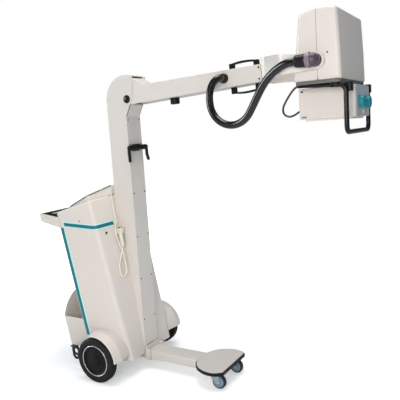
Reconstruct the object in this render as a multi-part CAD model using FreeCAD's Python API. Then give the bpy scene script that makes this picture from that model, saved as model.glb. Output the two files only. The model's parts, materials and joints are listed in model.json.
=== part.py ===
import FreeCAD, Part
import math
import os

# Mobile x-ray unit: a wheeled cabinet, a column with a balanced arm, and a tube head in a fork.
# Millimetres. The origin is the floor point midway between the rear wheels' contacts.
# +X points to the front, where the arm reaches, +Y to the left side, and +Z up.

V = FreeCAD.Vector

# Rear wheels
wheel_radius = 125.0
wheel_width = 45.0
track_outer = 640.0
rim_radius = 92.0
axle_radius = 10.0
ring_radius = 86.0
ring_width = 4.0

# Front casters
caster_radius = 38.0
caster_width = 24.0
caster_x = 622.0
caster_y = 97.0
caster_trail = 22.0
caster_stem_radius = 8.0

# Brake pedal behind the right rear wheel
brake_x = -84.0
brake_z = 120.0
brake_y = -249.0
brake_thick = 8.0
brake_pin_radius = 6.0

# Fenders: their shoulder, from the outer face inwards, and how far they rise over the tyre
fender_shoulder = 47.0
fender_rise = 27.0
fender_inner_rise = 13.0
fender_wall = 5.0

# Cabinet, given at its bottom and at the height of the console's front
cab_low_z = 95.0
cab_high_z = 1060.0
cab_rear_x = (-114.0, -298.0)
cab_rear_half = (240.0, 246.0)
cab_ridge_x = (156.0, -50.0)
cab_ridge_half = (190.0, 215.0)
cab_front_x = (148.0, 20.0)
cab_wall = 5.0
shoulder_z = 925.0
shoulder_x = -250.0
shoulder_slope = 0.29
stripe_width = 20.0
stripe_skin = 0.8
stripe_z = 855.0
stripe_gap = 22.0

# Console housing on the cabinet's sloped top
console_rear_x = -205.0
console_half = 186.0
console_front_half = 80.0
console_top_z = 987.5
console_top_x = -120.0
console_slope = 0.47
fascia_thickness = 2.5
stop_radius = 14.0
stop_travel = 4.0

# Rear shelf with its push handle, and the cassette bin
shelf_rear_x = -440.0
shelf_half = 216.0
shelf_top_z = 908.0
shelf_rear_height = 42.0
shelf_front_height = 62.0
shelf_tilt = 0.14
shelf_rim = 14.0
shelf_mat = 5.0
grip_slot_length = 300.0
grip_slot_width = 36.0
bin_half = 202.0
bin_low_z = 130.0
bin_side_z = 300.0
bin_peak_z = 428.0
bin_depth = 170.0
bin_wall = 3.0

# Column
col_rear_x = 22.0
col_front_x = 149.0
col_half = 60.0
col_low_z = 111.0
col_sheet = 3.0
panel_sheet = 2.0
crown_x = 152.0
crown_z = 1510.0
crown_radius = 130.0
cheek_x = 207.0
nose_tip_x = 183.0
nose_tip_z = 1486.0
nose_low_z = 1423.0
nose_half = 51.5
screw_radius = 4.0
screw_head = 2.0
screw_y = 47.5
screw_heights = (1404.5, 1272.0, 1005.0, 763.0, 524.0, 286.0, 128.0)

# Arm, in its own frame: s runs along it from the pivot, h across it, upwards
pivot_x = 162.0
pivot_z = 1513.0
pivot_radius = 12.0
arm_rise = 2.7
arm_half = 56.0
arm_sheet = 3.0
arm_end_s = 782.0
arm_low_h = -22.0
arm_high_h = (62.0, 55.0)
arm_knee_s = 112.0
eye_angle = -64.0
floor_start_s = 90.0
drum_radius = 113.0
hub_radius = 24.0
plate_eye_radius = 34.0
buffer_s = 265.0
buffer_radius = 24.0
buffer_height = 31.0
grip_s = (611.0, 739.0)
grip_rise = 30.0
grip_bar = 9.0
grip_foot = 24.0
grip_deep = 22.0
gland_s = 590.0
gland_h = 19.0

# Fork, on the end of the arm and in the arm's frame
roll_h = 16.0
neck_radius = 38.0
neck_gap = 0.5
neck_low_h = -30.0
neck_high_h = 82.0
fork_s = 786.0
fork_base = 20.0
fork_flare_s = 938.0
fork_half = 216.0
fork_thick = 14.0
fork_neck_half = 62.0
tilt_s = 1090.0
tilt_h = 8.0
fork_eye = 34.0
trunnion_radius = 15.0

# Head, placed from the tilt axis
head_room = 6.0
head_half = fork_half - fork_thick - head_room
head_rear = ((-106.0, -78.0), (-92.0, 39.0), (-74.0, 194.0))
head_front = ((84.0, 200.0), (92.0, 50.0), (95.0, -78.0))
head_crown_z = 209.0
head_wall = 3.5
head_corner = 16.0
head_split = 0.6
base_half_x = 99.0
base_half_y = 190.0
base_thick = 13.0
tank_half_x = 66.0
tank_half_y = 150.0
tank_low = -70.0
tank_high = 150.0
bar_radius = 10.0
bar_half = 178.0
bar_front = 108.0
bar_drop = 292.0
bar_rear = -95.0
bar_bend = 28.0

# Collimator, placed from its swivel axis
coll_shift = 7.0
coll_half_x = 122.0
coll_half_y = 110.0
coll_high = -101.0
coll_height = 131.0
ring_out = 72.0
coll_panel = 3.0
knob_radius = 25.0
knob_length = 20.0
knob_y = 54.0
knob_z = -172.0
button_radius = 9.0
button_z = -212.0
button_travel = 3.0

# Foot
beam_half = 54.0
beam_low_z = 55.0
beam_high_z = 105.0
beam_wall = 4.0
beam_rear_x = -105.0
beam_front_x = 520.0
plate_high_z = 106.0
plate_low_z = 86.0
bumper_thick = 5.0
plate_front_x = 680.0
plate_front_half = 126.0
plate_widest = 150.0

# Small clearances
running = 0.05
seat = 0.3
clear = 0.5

nodes = {}


def lerp(pair, t):
    return pair[0] + (pair[1] - pair[0]) * t


def box(x0, x1, y0, y1, z0, z1):
    return Part.makeBox(x1 - x0, y1 - y0, z1 - z0, V(x0, y0, z0))


def rod(start, end, radius):
    way = V(*end) - V(*start)
    return Part.makeCylinder(radius, way.Length, V(*start), way)


def ring_edges(points, radii, place):
    """Closed outline of straight runs, each corner rounded by its own radius."""
    count = len(points)
    marks = []
    for i in range(count):
        here = V(points[i][0], points[i][1], 0)
        back = V(points[i - 1][0], points[i - 1][1], 0) - here
        ahead = V(points[(i + 1) % count][0], points[(i + 1) % count][1], 0) - here
        back.normalize()
        ahead.normalize()
        radius = radii[i] if isinstance(radii, (list, tuple)) else radii
        if radius <= 0:
            marks.append((here, None, here))
            continue
        half = back.getAngle(ahead) / 2
        reach = radius / math.tan(half)
        middle = back + ahead
        middle.normalize()
        centre = here + middle * (radius / math.sin(half))
        marks.append((here + back * reach, centre - middle * radius, here + ahead * reach))
    edges = []
    for i in range(count):
        first, arc, last = marks[i]
        if arc is not None:
            edges.append(Part.Arc(place(first), place(arc), place(last)).toShape())
        start, end = place(last), place(marks[(i + 1) % count][0])
        if start.distanceToPoint(end) > 1e-6:
            edges.append(Part.LineSegment(start, end).toShape())
    return edges


def prism_xz(points, y0, y1, radii=0.0):
    wire = Part.Wire(ring_edges(points, radii, lambda p: V(p.x, y0, p.y)))
    return Part.Face(wire).extrude(V(0, y1 - y0, 0))


def prism_xy(points, z0, z1, radii=0.0):
    wire = Part.Wire(ring_edges(points, radii, lambda p: V(p.x, p.y, z0)))
    return Part.Face(wire).extrude(V(0, 0, z1 - z0))


def prism_yz(points, x0, x1, radii=0.0):
    wire = Part.Wire(ring_edges(points, radii, lambda p: V(x0, p.x, p.y)))
    return Part.Face(wire).extrude(V(x1 - x0, 0, 0))


def spin_y(points, x, z, radii=0.0):
    """Ring turned about a line along Y through (x, z); points are (y, radius)."""
    wire = Part.Wire(ring_edges(points, radii, lambda p: V(x + p.y, p.x, z)))
    return Part.Face(wire).revolve(V(x, 0, z), V(0, 1, 0), 360)


def spin_z(points, x, y, radii=0.0):
    """Ring turned about a line along Z through (x, y); points are (radius, z)."""
    wire = Part.Wire(ring_edges(points, radii, lambda p: V(x + p.x, y, p.y)))
    return Part.Face(wire).revolve(V(x, y, 0), V(0, 0, 1), 360)


def both_sides(shape):
    return [shape, shape.mirror(V(0, 0, 0), V(0, 1, 0))]


def group(solids):
    return Part.makeCompound(solids)


def fuse(first, *others):
    return first.fuse(list(others)).removeSplitter()


def tube_path(points, radius):
    """Round bar or cord along straight runs joined by tangent arcs."""
    knots = [V(*p) for p in points]
    edges = []
    radii = []
    at = knots[0]
    for i in range(1, len(knots) - 1):
        back = knots[i - 1] - knots[i]
        ahead = knots[i + 1] - knots[i]
        run = min(back.Length, ahead.Length)
        back.normalize()
        ahead.normalize()
        half = back.getAngle(ahead) / 2
        turn = math.pi - 2 * half
        bend = 0.45 * run / math.tan(turn / 2)
        radii.append(bend)
        middle = back + ahead
        middle.normalize()
        centre = knots[i] + middle * (bend / math.cos(turn / 2))
        start = knots[i] + back * (0.45 * run)
        end = knots[i] + ahead * (0.45 * run)
        edges.append(Part.LineSegment(at, start).toShape())
        edges.append(Part.Arc(start, centre - middle * bend, end).toShape())
        at = end
    edges.append(Part.LineSegment(at, knots[-1]).toShape())
    path = Part.Wire(edges)
    way = knots[1] - knots[0]
    end_face = Part.Wire([Part.makeCircle(radius, knots[0], way)])
    solid = path.makePipeShell([end_face], True, False)
    return solid, radii, path.Length


def bent_bar(points, radius, bend):
    """Round bar along straight runs with one bend radius at every corner."""
    knots = [V(*p) for p in points]
    edges = []
    at = knots[0]
    for i in range(1, len(knots) - 1):
        back = knots[i - 1] - knots[i]
        ahead = knots[i + 1] - knots[i]
        back.normalize()
        ahead.normalize()
        half = back.getAngle(ahead) / 2
        reach = bend / math.tan(half)
        middle = back + ahead
        middle.normalize()
        centre = knots[i] + middle * (bend / math.sin(half))
        start = knots[i] + back * reach
        edges.append(Part.LineSegment(at, start).toShape())
        at = knots[i] + ahead * reach
        edges.append(Part.Arc(start, centre - middle * bend, at).toShape())
    edges.append(Part.LineSegment(at, knots[-1]).toShape())
    end_face = Part.Wire([Part.makeCircle(radius, knots[0], knots[1] - knots[0])])
    return Part.Wire(edges).makePipeShell([end_face], True, False)


def on_arm(shape):
    """Places a shape drawn in the arm's frame, with x along the arm from the pivot."""
    placed = shape.copy()
    placed.rotate(V(0, 0, 0), V(0, 1, 0), -arm_rise)
    placed.translate(V(pivot_x, 0, pivot_z))
    return placed


def arm_point(s, y, h):
    turn = math.radians(arm_rise)
    x = pivot_x + s * math.cos(turn) - h * math.sin(turn)
    z = pivot_z + s * math.sin(turn) + h * math.cos(turn)
    return (x, y, z)


# Rear wheels and axle

def rear_wheel(side):
    outer = side * track_outer / 2
    inner = outer - side * wheel_width
    mid = (outer + inner) / 2
    groove = 2.5

    def at(depth):
        return outer - side * depth

    tread = [(at(0), rim_radius), (at(0), wheel_radius - 10), (at(7), wheel_radius),
             (at(wheel_width - 7), wheel_radius), (inner, wheel_radius - 10), (inner, rim_radius)]
    tyre = spin_y(tread, 0, wheel_radius, [0, 5, 5, 5, 5, 0])
    for offset in (-8.0, 8.0):
        cut = [(mid + offset - 1.5, wheel_radius - groove), (mid + offset + 1.5, wheel_radius - groove),
               (mid + offset + 1.5, wheel_radius + 2), (mid + offset - 1.5, wheel_radius + 2)]
        tyre = tyre.cut(spin_y(cut, 0, wheel_radius))
    name = "left" if side > 0 else "right"
    nodes["tyre_" + name] = tyre
    rim = rim_radius - seat
    web_out = 9.0
    profile = [(at(3), rim), (at(3), ring_radius - 7), (at(web_out), ring_radius - 14),
               (at(web_out), 36), (at(2), 28), (at(1), 0.0), (at(wheel_width - 4), 0.0),
               (at(wheel_width - 4), 26), (at(24), 34), (at(24), ring_radius - 12),
               (at(wheel_width - 4), ring_radius - 5), (at(wheel_width - 4), rim)]
    disc = spin_y(profile, 0, wheel_radius)
    bore = rod((0, at(8), wheel_radius), (0, at(wheel_width + 5), wheel_radius), axle_radius + running)
    ring = [(at(6), ring_radius), (at(0.5), ring_radius), (at(0.5), ring_radius - ring_width),
            (at(6), ring_radius - ring_width)]
    nodes["wheel_disc_" + name] = fuse(disc, spin_y(ring, 0, wheel_radius)).cut(bore)


for side in (1, -1):
    rear_wheel(side)
axle_half = track_outer / 2 - 8 - seat
nodes["rear_axle"] = rod((0, -axle_half, wheel_radius), (0, axle_half, wheel_radius), axle_radius)


# Cabinet

def cabinet_ring(z, grow):
    t = (z - cab_low_z) / (cab_high_z - cab_low_z)
    rear_x = lerp(cab_rear_x, t) - grow
    rear_y = lerp(cab_rear_half, t) + grow
    ridge_x = lerp(cab_ridge_x, t) + grow
    ridge_y = lerp(cab_ridge_half, t) + grow
    front_x = lerp(cab_front_x, t) + grow
    points = [(rear_x, -rear_y), (ridge_x, -ridge_y), (front_x, -col_half), (front_x, col_half),
              (ridge_x, ridge_y), (rear_x, rear_y)]
    radii = [28 + grow, 30 + grow, 20 + grow, 20 + grow, 30 + grow, 28 + grow]
    return Part.Wire(ring_edges(points, radii, lambda p: V(p.x, p.y, z)))


def cabinet_block(grow, low=cab_low_z):
    return Part.makeLoft([cabinet_ring(low, grow), cabinet_ring(cab_high_z, grow)], True, True)


def shoulder(x):
    return shoulder_z + shoulder_slope * (x - shoulder_x)


def below_shoulder(drop, low=0.0):
    far = 400.0
    return prism_xz([(-far, low), (far, low), (far, shoulder(far) - drop), (-far, shoulder(-far) - drop)],
                    -far, far)


def top_edges(shape, low):
    """Edges that lie on the sloped top, away from the column."""
    found = []
    for edge in shape.Edges:
        box_of = edge.BoundBox
        mid = box_of.Center
        on_top = all(abs(v.Point.z - shoulder(v.Point.x)) < 0.5 for v in edge.Vertexes)
        if on_top and mid.z > low:
            found.append(edge)
    return found


cab_full = cabinet_block(0.0).common(below_shoulder(0.0))
cab_soft = cab_full.makeFillet(11.0, top_edges(cab_full, 700))
cab_hollow = cabinet_block(-cab_wall, cab_low_z - 1).common(below_shoulder(cab_wall))
column_notch = box(col_rear_x - clear, 400, -col_half - clear, col_half + clear, 0, cab_high_z + 140)
brake_hole = rod((brake_x, -400, brake_z), (brake_x, 0, brake_z), brake_pin_radius + 2)
cover = cab_soft.cut(cab_hollow).cut(column_notch).cut(brake_hole)
axle_hole = rod((0, -400, wheel_radius), (0, 400, wheel_radius), axle_radius + 4)
beam_gap = box(-400, 400, -beam_half - clear, beam_half + clear, 0, beam_high_z + clear)
nodes["cabinet_cover"] = cover.cut(axle_hole).cut(beam_gap)


def stripes():
    """Coloured strips that lie on the cabinet: along its rear edge, and round its shoulder."""
    skin = cabinet_block(stripe_skin).cut(cabinet_block(stripe_skin / 8))
    made = []
    low_z, high_z = 226.0, stripe_z - stripe_width / 2 - stripe_gap + 12
    run = (cab_high_z - cab_low_z)
    lean = (cab_rear_x[1] - cab_rear_x[0]) / run

    def edge_x(z, inset):
        return cab_rear_x[0] + lean * (z - cab_low_z) + inset
    inset = 36.0
    upright = [(edge_x(low_z, inset), low_z), (edge_x(low_z, inset + 16), low_z),
               (edge_x(high_z, inset + 16), high_z), (edge_x(high_z, inset), high_z)]
    level_z0, level_z1 = stripe_z - stripe_width / 2, stripe_z + stripe_width / 2
    for side in (-1, 1):
        near, far = (-300, -100) if side < 0 else (100, 300)
        made.append(skin.common(prism_xz(upright, near, far)))
        start = edge_x(stripe_z, inset + 22)
        y0, y1 = (-300, -col_half - 46) if side < 0 else (col_half + 46, 300)
        made.append(skin.common(box(start, 300, y0, y1, level_z0, level_z1)))
    return made


nodes["side_stripes"] = group([s for piece in stripes() for s in piece.Solids])


# Fenders over the front halves of the rear wheels

def fender(side):
    outer = side * (track_outer / 2 - 3)
    inner = side * cab_ridge_half[0]
    gap_radius = wheel_radius + 9

    shoulder_y = outer - side * fender_shoulder
    high = wheel_radius + fender_rise
    low = wheel_radius + fender_inner_rise
    wall = fender_wall
    shell = spin_y([(outer, gap_radius), (outer, gap_radius + 7), (outer - side * 18, high - 7),
                    (shoulder_y, high), (inner, low), (inner, low - wall), (shoulder_y, high - wall),
                    (outer - side * 20, high - 7 - wall), (outer - side * wall, gap_radius + 4),
                    (outer - side * wall, gap_radius)],
                   0, wheel_radius, [0, 3, 12, 14, 0, 0, 10, 10, 0, 0])
    keep = prism_xz([(0, wheel_radius), (-52, wheel_radius + 240), (330, wheel_radius + 240),
                     (330, wheel_radius + 34), (118, wheel_radius + 2)], -400, 400)
    shape = shell.common(keep)
    return shape.cut(cabinet_block(seat))


nodes["fender_left"] = fender(1)
nodes["fender_right"] = fender(-1)

# Chassis: floor pan, axle blocks, post foot and the blocks inside the cabinet

pan_x0, pan_x1, pan_half = -98.0, 136.0, 178.0
pan_z0, pan_z1 = beam_high_z + seat, beam_high_z + seat + 6.0
pan = box(pan_x0, pan_x1, -pan_half, pan_half, pan_z0, pan_z1)
col_low = pan_z1 + seat
blocks = []
for side in (1, -1):
    y0, y1 = sorted((side * 140.0, side * 224.0))
    block = box(-26, 26, y0, y1, pan_z1 - 6.0, wheel_radius + 22)
    blocks.append(block)
brake_lug = box(brake_x - 14, -20, -pan_half - 50, -pan_half, pan_z0, brake_z + 14)
frame = fuse(pan, brake_lug, *blocks)
frame = frame.cut(rod((0, -400, wheel_radius), (0, 400, wheel_radius), axle_radius + running))
frame = frame.common(cabinet_block(-cab_wall - 1.0, cab_low_z - 1))
pin_end = brake_y - brake_thick - 3
brake_pin = rod((brake_x, -pan_half - 10, brake_z), (brake_x, pin_end, brake_z), brake_pin_radius)
nodes["chassis_frame"] = fuse(frame, brake_pin)

gen_z0, gen_z1 = 160.0, 470.0
gen_front = col_rear_x - 28.0
gen_half = pan_half + 12.0
generator = cabinet_block(-cab_wall - 22.0).common(box(cab_rear_x[1], gen_front, -gen_half, gen_half,
                                                       gen_z0, gen_z1))
legs = [rod((-60, y, pan_z1 + seat), (-60, y, gen_z0), 9) for y in (-120, 120)]
nodes["generator_tank"] = fuse(generator, *legs)

# Console housing, fascia, display window and stop button


def console_z(x):
    return console_top_z + console_slope * (x - console_top_x)


def console_body():
    far_x = col_rear_x - clear
    side = prism_xz([(console_rear_x, shoulder(console_rear_x) + seat), (far_x, shoulder(far_x) + seat),
                     (far_x, console_z(far_x)), (console_rear_x, console_z(console_rear_x))],
                    -300, 300)
    plan = prism_xy([(console_rear_x - 1, -console_half), (-80, -172), (far_x + 1, -console_front_half),
                     (far_x + 1, console_front_half), (-80, 172), (console_rear_x - 1, console_half)],
                    shoulder_z - 125, cab_high_z + 140, [18, 40, 4, 4, 40, 18])
    return side.common(plan)


console = console_body()
fascia_x0, fascia_x1 = console_rear_x + 16, -14.0
fascia_half = 128.0


def console_slab(x0, x1, y0, y1, low, high, radius):
    """A block standing square on the console's slope, from low to high above it."""
    turn = math.degrees(math.atan(console_slope))
    run = math.hypot(1.0, console_slope)
    shape = prism_xy([(x0 * run, y0), (x1 * run, y0), (x1 * run, y1), (x0 * run, y1)], low, high, radius)
    shape.rotate(V(0, 0, 0), V(0, 1, 0), -turn)
    shape.translate(V(0, 0, console_z(0)))
    return shape


def slope_axis():
    run = math.hypot(1.0, console_slope)
    return V(-console_slope / run, 0, 1 / run)


stop_x, stop_y = -52.0, -96.0
stop_foot = V(stop_x, stop_y, console_z(stop_x))
stop_well = Part.makeCylinder(stop_radius + 1.0, 16, stop_foot + slope_axis() * (-9), slope_axis())
stop_guide = Part.makeCylinder(5.0 + running, 14, stop_foot + slope_axis() * (-20), slope_axis())
recess = console_slab(fascia_x0, fascia_x1, -fascia_half, fascia_half, -1.6, 20, 8.0)
console = console.cut(recess).cut(stop_well).cut(stop_guide)
nodes["console_housing"] = console
fascia = console_slab(fascia_x0 + clear, fascia_x1 - clear, -fascia_half + clear, fascia_half - clear,
                      -1.6, -1.6 + fascia_thickness, 8.0 - clear)
window_x0, window_x1, window_half = -88.0, -30.0, 62.0
window_hole = console_slab(window_x0, window_x1, -window_half, window_half, -5, 20, 5.0)
nodes["console_fascia"] = fascia.cut(window_hole).cut(stop_well)
nodes["display_window"] = console_slab(window_x0 + clear, window_x1 - clear, -window_half + clear,
                                       window_half - clear, -1.6, 1.4, 4.5)
stop_cap = Part.makeCylinder(stop_radius, 12, stop_foot + slope_axis() * (-3), slope_axis())
stop_cap = stop_cap.makeFillet(3.0, [stop_cap.Edges[0]])
stop_stem = Part.makeCylinder(5.0, 12, stop_foot + slope_axis() * (-14.5), slope_axis())
nodes["stop_button"] = fuse(stop_cap, stop_stem)

# Rear shelf with the push handle, and its rubber mat

def rear_face_x(z):
    return lerp(cab_rear_x, (z - cab_low_z) / (cab_high_z - cab_low_z))


def shelf_line(x, drop):
    return shelf_top_z - shelf_tilt * (x - shelf_rear_x) - drop


shelf_x1 = -200.0
shelf_side = prism_xz([(shelf_rear_x, shelf_line(shelf_rear_x, 0)), (shelf_x1, shelf_line(shelf_x1, 0)),
                       (shelf_x1, shelf_line(shelf_x1, shelf_front_height)),
                       (shelf_rear_x, shelf_line(shelf_rear_x, shelf_rear_height))],
                      -shelf_half, shelf_half, [14, 0, 0, 16])
shelf_plan = prism_xy([(shelf_rear_x, -shelf_half), (shelf_x1, -shelf_half), (shelf_x1, shelf_half),
                       (shelf_rear_x, shelf_half)], 700, 1000, [34, 0, 0, 34])
shelf_tray = prism_xz([(shelf_rear_x + shelf_rim, shelf_line(shelf_rear_x + shelf_rim, 8)),
                       (shelf_x1, shelf_line(shelf_x1, 8)), (shelf_x1, 1000),
                       (shelf_rear_x + shelf_rim, 1000)], -shelf_half + shelf_rim, shelf_half - shelf_rim)
slot_x0 = shelf_rear_x + 30.0
slot_x1 = slot_x0 + grip_slot_width
grip_slot = prism_xy([(slot_x0, -grip_slot_length / 2), (slot_x1, -grip_slot_length / 2),
                      (slot_x1, grip_slot_length / 2), (slot_x0, grip_slot_length / 2)],
                     700, 1000, grip_slot_width / 2 - 1)
shelf_under = prism_xz([(slot_x1 + 14, 700), (shelf_x1, 700), (shelf_x1, shelf_line(shelf_x1, 20)),
                        (slot_x1 + 14, shelf_line(slot_x1 + 14, 20))],
                       -shelf_half + shelf_rim, shelf_half - shelf_rim)
shelf = shelf_side.common(shelf_plan).cut(shelf_tray).cut(shelf_under).cut(grip_slot)
nodes["rear_shelf"] = shelf.cut(cabinet_block(seat))
mat = prism_xz([(shelf_rear_x + shelf_rim + clear, shelf_line(shelf_rear_x + shelf_rim, 8 - seat)),
                (shelf_x1, shelf_line(shelf_x1, 8 - seat)), (shelf_x1, shelf_line(shelf_x1, 8 - shelf_mat)),
                (shelf_rear_x + shelf_rim + clear, shelf_line(shelf_rear_x + shelf_rim, 8 - shelf_mat))],
               -shelf_half + shelf_rim + clear, shelf_half - shelf_rim - clear)
nodes["shelf_mat"] = mat.cut(grip_slot).cut(cabinet_block(seat))

# Cassette bin on the back of the cabinet

def bin_block(grow, low):
    """Leaning box whose outer wall follows the cabinet's back, with an arched top edge."""
    top = 460.0
    depth = bin_depth + grow
    side = prism_xz([(rear_face_x(low) - depth + 8, low), (rear_face_x(low) + 60, low),
                     (rear_face_x(top) + 60, top), (rear_face_x(top) - depth, top)],
                    -bin_half - grow, bin_half + grow)
    return side


bin_outer = bin_block(0.0, bin_low_z)
bin_inner = bin_block(-bin_wall, bin_low_z + bin_wall)
bin_shell = bin_outer.cut(bin_inner)
side_cut = box(rear_face_x(bin_side_z) - bin_depth + bin_wall + 3, 200, -300, 300, bin_side_z, 600)
bin_shell = bin_shell.cut(side_cut)
arch = Part.Wire([
    Part.LineSegment(V(-500, -300, 600), V(-500, -300, bin_side_z)).toShape(),
    Part.LineSegment(V(-500, -300, bin_side_z), V(-500, -bin_half, bin_side_z)).toShape(),
    Part.Arc(V(-500, -bin_half, bin_side_z), V(-500, 0, bin_peak_z), V(-500, bin_half, bin_side_z)).toShape(),
    Part.LineSegment(V(-500, bin_half, bin_side_z), V(-500, 300, bin_side_z)).toShape(),
    Part.LineSegment(V(-500, 300, bin_side_z), V(-500, 300, 600)).toShape(),
    Part.LineSegment(V(-500, 300, 600), V(-500, -300, 600)).toShape()])
bin_shell = bin_shell.cut(Part.Face(arch).extrude(V(500, 0, 0)))
nodes["cassette_bin"] = bin_shell.cut(cabinet_block(seat))

# Column: folded body with a round crown, front panel, screws, pivot shaft and caps

def cheek_outline(inset, front):
    """Side view of the column, drawn inwards by inset, with its front edge at front."""
    arc_radius = crown_radius - inset
    rear = col_rear_x + inset
    top_x = cheek_x
    top_z = crown_z + math.sqrt(arc_radius ** 2 - (top_x - crown_x) ** 2)
    edges = [Part.LineSegment(V(rear, 0, col_low), V(front, 0, col_low)).toShape(),
             Part.LineSegment(V(front, 0, col_low), V(front, 0, nose_low_z)).toShape(),
             Part.LineSegment(V(front, 0, nose_low_z), V(nose_tip_x - panel_sheet, 0, nose_tip_z)).toShape(),
             Part.LineSegment(V(nose_tip_x - panel_sheet, 0, nose_tip_z), V(199, 0, 1520)).toShape(),
             Part.LineSegment(V(199, 0, 1520), V(top_x, 0, top_z)).toShape(),
             Part.Arc(V(top_x, 0, top_z), V(crown_x - arc_radius * math.sin(math.radians(20)), 0,
                      crown_z + arc_radius * math.cos(math.radians(20))), V(rear, 0, crown_z)).toShape(),
             Part.LineSegment(V(rear, 0, crown_z), V(rear, 0, col_low)).toShape()]
    return Part.Face(Part.Wire(edges))


def shifted(face, y0, y1):
    moved = face.copy()
    moved.translate(V(0, y0, 0))
    return moved.extrude(V(0, y1 - y0, 0))


panel_back = col_front_x - panel_sheet
outer_block = shifted(cheek_outline(0.0, panel_back), -col_half, col_half)
inner_block = shifted(cheek_outline(col_sheet, panel_back), -col_half + col_sheet, col_half - col_sheet)
open_front = box(panel_back - 20, 260, -col_half + col_sheet, col_half - col_sheet, col_low + 4, 1523)
open_mouth = box(cheek_x - 14, 260, -col_half + col_sheet, col_half - col_sheet, 1515, 1650)
column = outer_block.cut(inner_block).cut(open_front).cut(open_mouth)
column = column.cut(rod((pivot_x, -100, pivot_z), (pivot_x, 100, pivot_z), pivot_radius + seat))
nodes["column_body"] = column

panel = box(panel_back, col_front_x, -col_half, col_half, col_low + 20, nose_low_z)
nose = prism_xz([(panel_back, nose_low_z - 2), (col_front_x, nose_low_z - 2), (col_front_x, nose_low_z),
                 (nose_tip_x, nose_tip_z), (nose_tip_x - panel_sheet, nose_tip_z),
                 (panel_back, nose_low_z)], -nose_half, nose_half)
flange = [box(panel_back - 16, panel_back, y - 1.0, y + 1.0, col_low + 20, nose_low_z - 4)
          for y in (-50.0, 50.0)]
panel = fuse(panel, nose, *flange)
screw_holes = []
screws = []
for z in screw_heights:
    for y in (-screw_y, screw_y):
        head = rod((col_front_x - 0.5, y, z), (col_front_x + screw_head - 0.5, y, z), screw_radius)
        screw_holes.append(rod((col_front_x - 0.5, y, z), (col_front_x + 3, y, z), screw_radius + 0.1))
        screws.append(head)
nodes["column_front_panel"] = panel.cut(screw_holes)
nodes["column_screws"] = group(screws)

shaft = rod((pivot_x, -col_half - 1, pivot_z), (pivot_x, col_half + 1, pivot_z), pivot_radius)
cap_profile = [(col_half + seat, 0.0), (col_half + seat, 17), (col_half + 4, 17), (col_half + 6, 12),
               (col_half + 6, 0.0)]
cap = spin_y(cap_profile, pivot_x, pivot_z)
nodes["arm_pivot_shaft"] = fuse(shaft, *both_sides(cap))

spring_z1 = 1230.0
cartridge = rod((75, 0, col_low), (75, 0, spring_z1), 26)
cartridge = fuse(cartridge, rod((75, 0, col_low), (75, 0, col_low + 8), 46))
nodes["balance_cartridge"] = fuse(cartridge, rod((75, 0, spring_z1 - 1), (75, 0, spring_z1 + 110), 7))

# Park rest on the column: a cross bar with two prongs

rest_z = 1254.0
rest_radius = 14.0
rest_half = 84.0
rest_x = col_front_x + rest_radius
cross = rod((rest_x, -rest_half, rest_z), (rest_x, rest_half, rest_z), rest_radius)
cross = cross.cut(box(rest_x - 40, col_front_x + seat, -120, 120, rest_z - 40, rest_z + 40))
prongs = []
for side in (-1, 1):
    y = side * (rest_half - 4)
    line = [(rest_x, y, rest_z), (rest_x, y, rest_z - 36), (rest_x + 6, y + side * 5, rest_z - 72)]
    prongs.append(bent_bar(line, 8.0, 40.0))
nodes["park_rest"] = fuse(cross, *prongs)

# Foot: beam, plate, bumper

beam = box(beam_rear_x, beam_front_x, -beam_half, beam_half, beam_low_z, beam_high_z)
long_edges = [e for e in beam.Edges if abs(e.BoundBox.XLength - (beam_front_x - beam_rear_x)) < 0.1]
beam = beam.makeFillet(6.0, long_edges)
beam_core = box(beam_rear_x + beam_wall, beam_front_x - beam_wall, -beam_half + beam_wall,
                beam_half - beam_wall, beam_low_z + beam_wall, beam_high_z - beam_wall)
collar = box(152.0, 160.0, -66, 66, beam_low_z - 2, 131)
ears = [box(152.0, 182.0, y - 5, y + 5, beam_low_z - 2, beam_high_z + 13) for y in (-61.0, 61.0)]
collar = fuse(collar, *ears)
collar = collar.cut(box(100, 300, -beam_half + 1, beam_half - 1, 0, beam_high_z - 1))
nodes["foot_beam"] = fuse(beam.cut(beam_core), collar)


def plate_face(grow, z0, z1):
    """Foot plate seen from above: two round lobes that flare from the beam to a straight front."""
    half = plate_front_half
    front = plate_front_x + grow
    widest = plate_widest + grow
    edges = []
    tail_x, tail_y = plate_front_x - 188 - grow, beam_half + 4 + grow * 0.4
    lobe = V(plate_front_x - 114 - grow * 0.6, plate_widest - 12 + grow * 0.8, z0)
    wide_point = V(front - grow - 68, widest, z0)

    def flip(p):
        return V(p.x, -p.y, z0)
    tail = V(tail_x, tail_y, z0)
    nose_corner = V(front - 14, half + 4 + grow, z0)
    front_corner = V(front, half - 12, z0)
    waist = V(plate_front_x - 160 - grow * 0.7, plate_widest - 42 + grow * 0.7, z0)
    first = Part.Arc(tail, waist, lobe)
    second = Part.Arc(lobe, V(plate_front_x - 90 - grow * 0.2, widest - 3, z0), wide_point)
    third = Part.Arc(wide_point, V(plate_front_x - 34, widest - 5, z0), nose_corner)
    fourth = Part.Arc(nose_corner, V(front - 3.5, half + grow - 2, z0), front_corner)
    right = [first, second, third, fourth]
    for arc in right:
        edges.append(arc.toShape())
    edges.append(Part.LineSegment(front_corner, flip(front_corner)).toShape())
    for arc in reversed(right):
        a, m, b = arc.StartPoint, arc.value((arc.FirstParameter + arc.LastParameter) / 2), arc.EndPoint
        edges.append(Part.Arc(flip(b), flip(m), flip(a)).toShape())
    edges.append(Part.LineSegment(flip(tail), tail).toShape())
    return Part.Face(Part.Wire(edges)).extrude(V(0, 0, z1 - z0))


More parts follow.
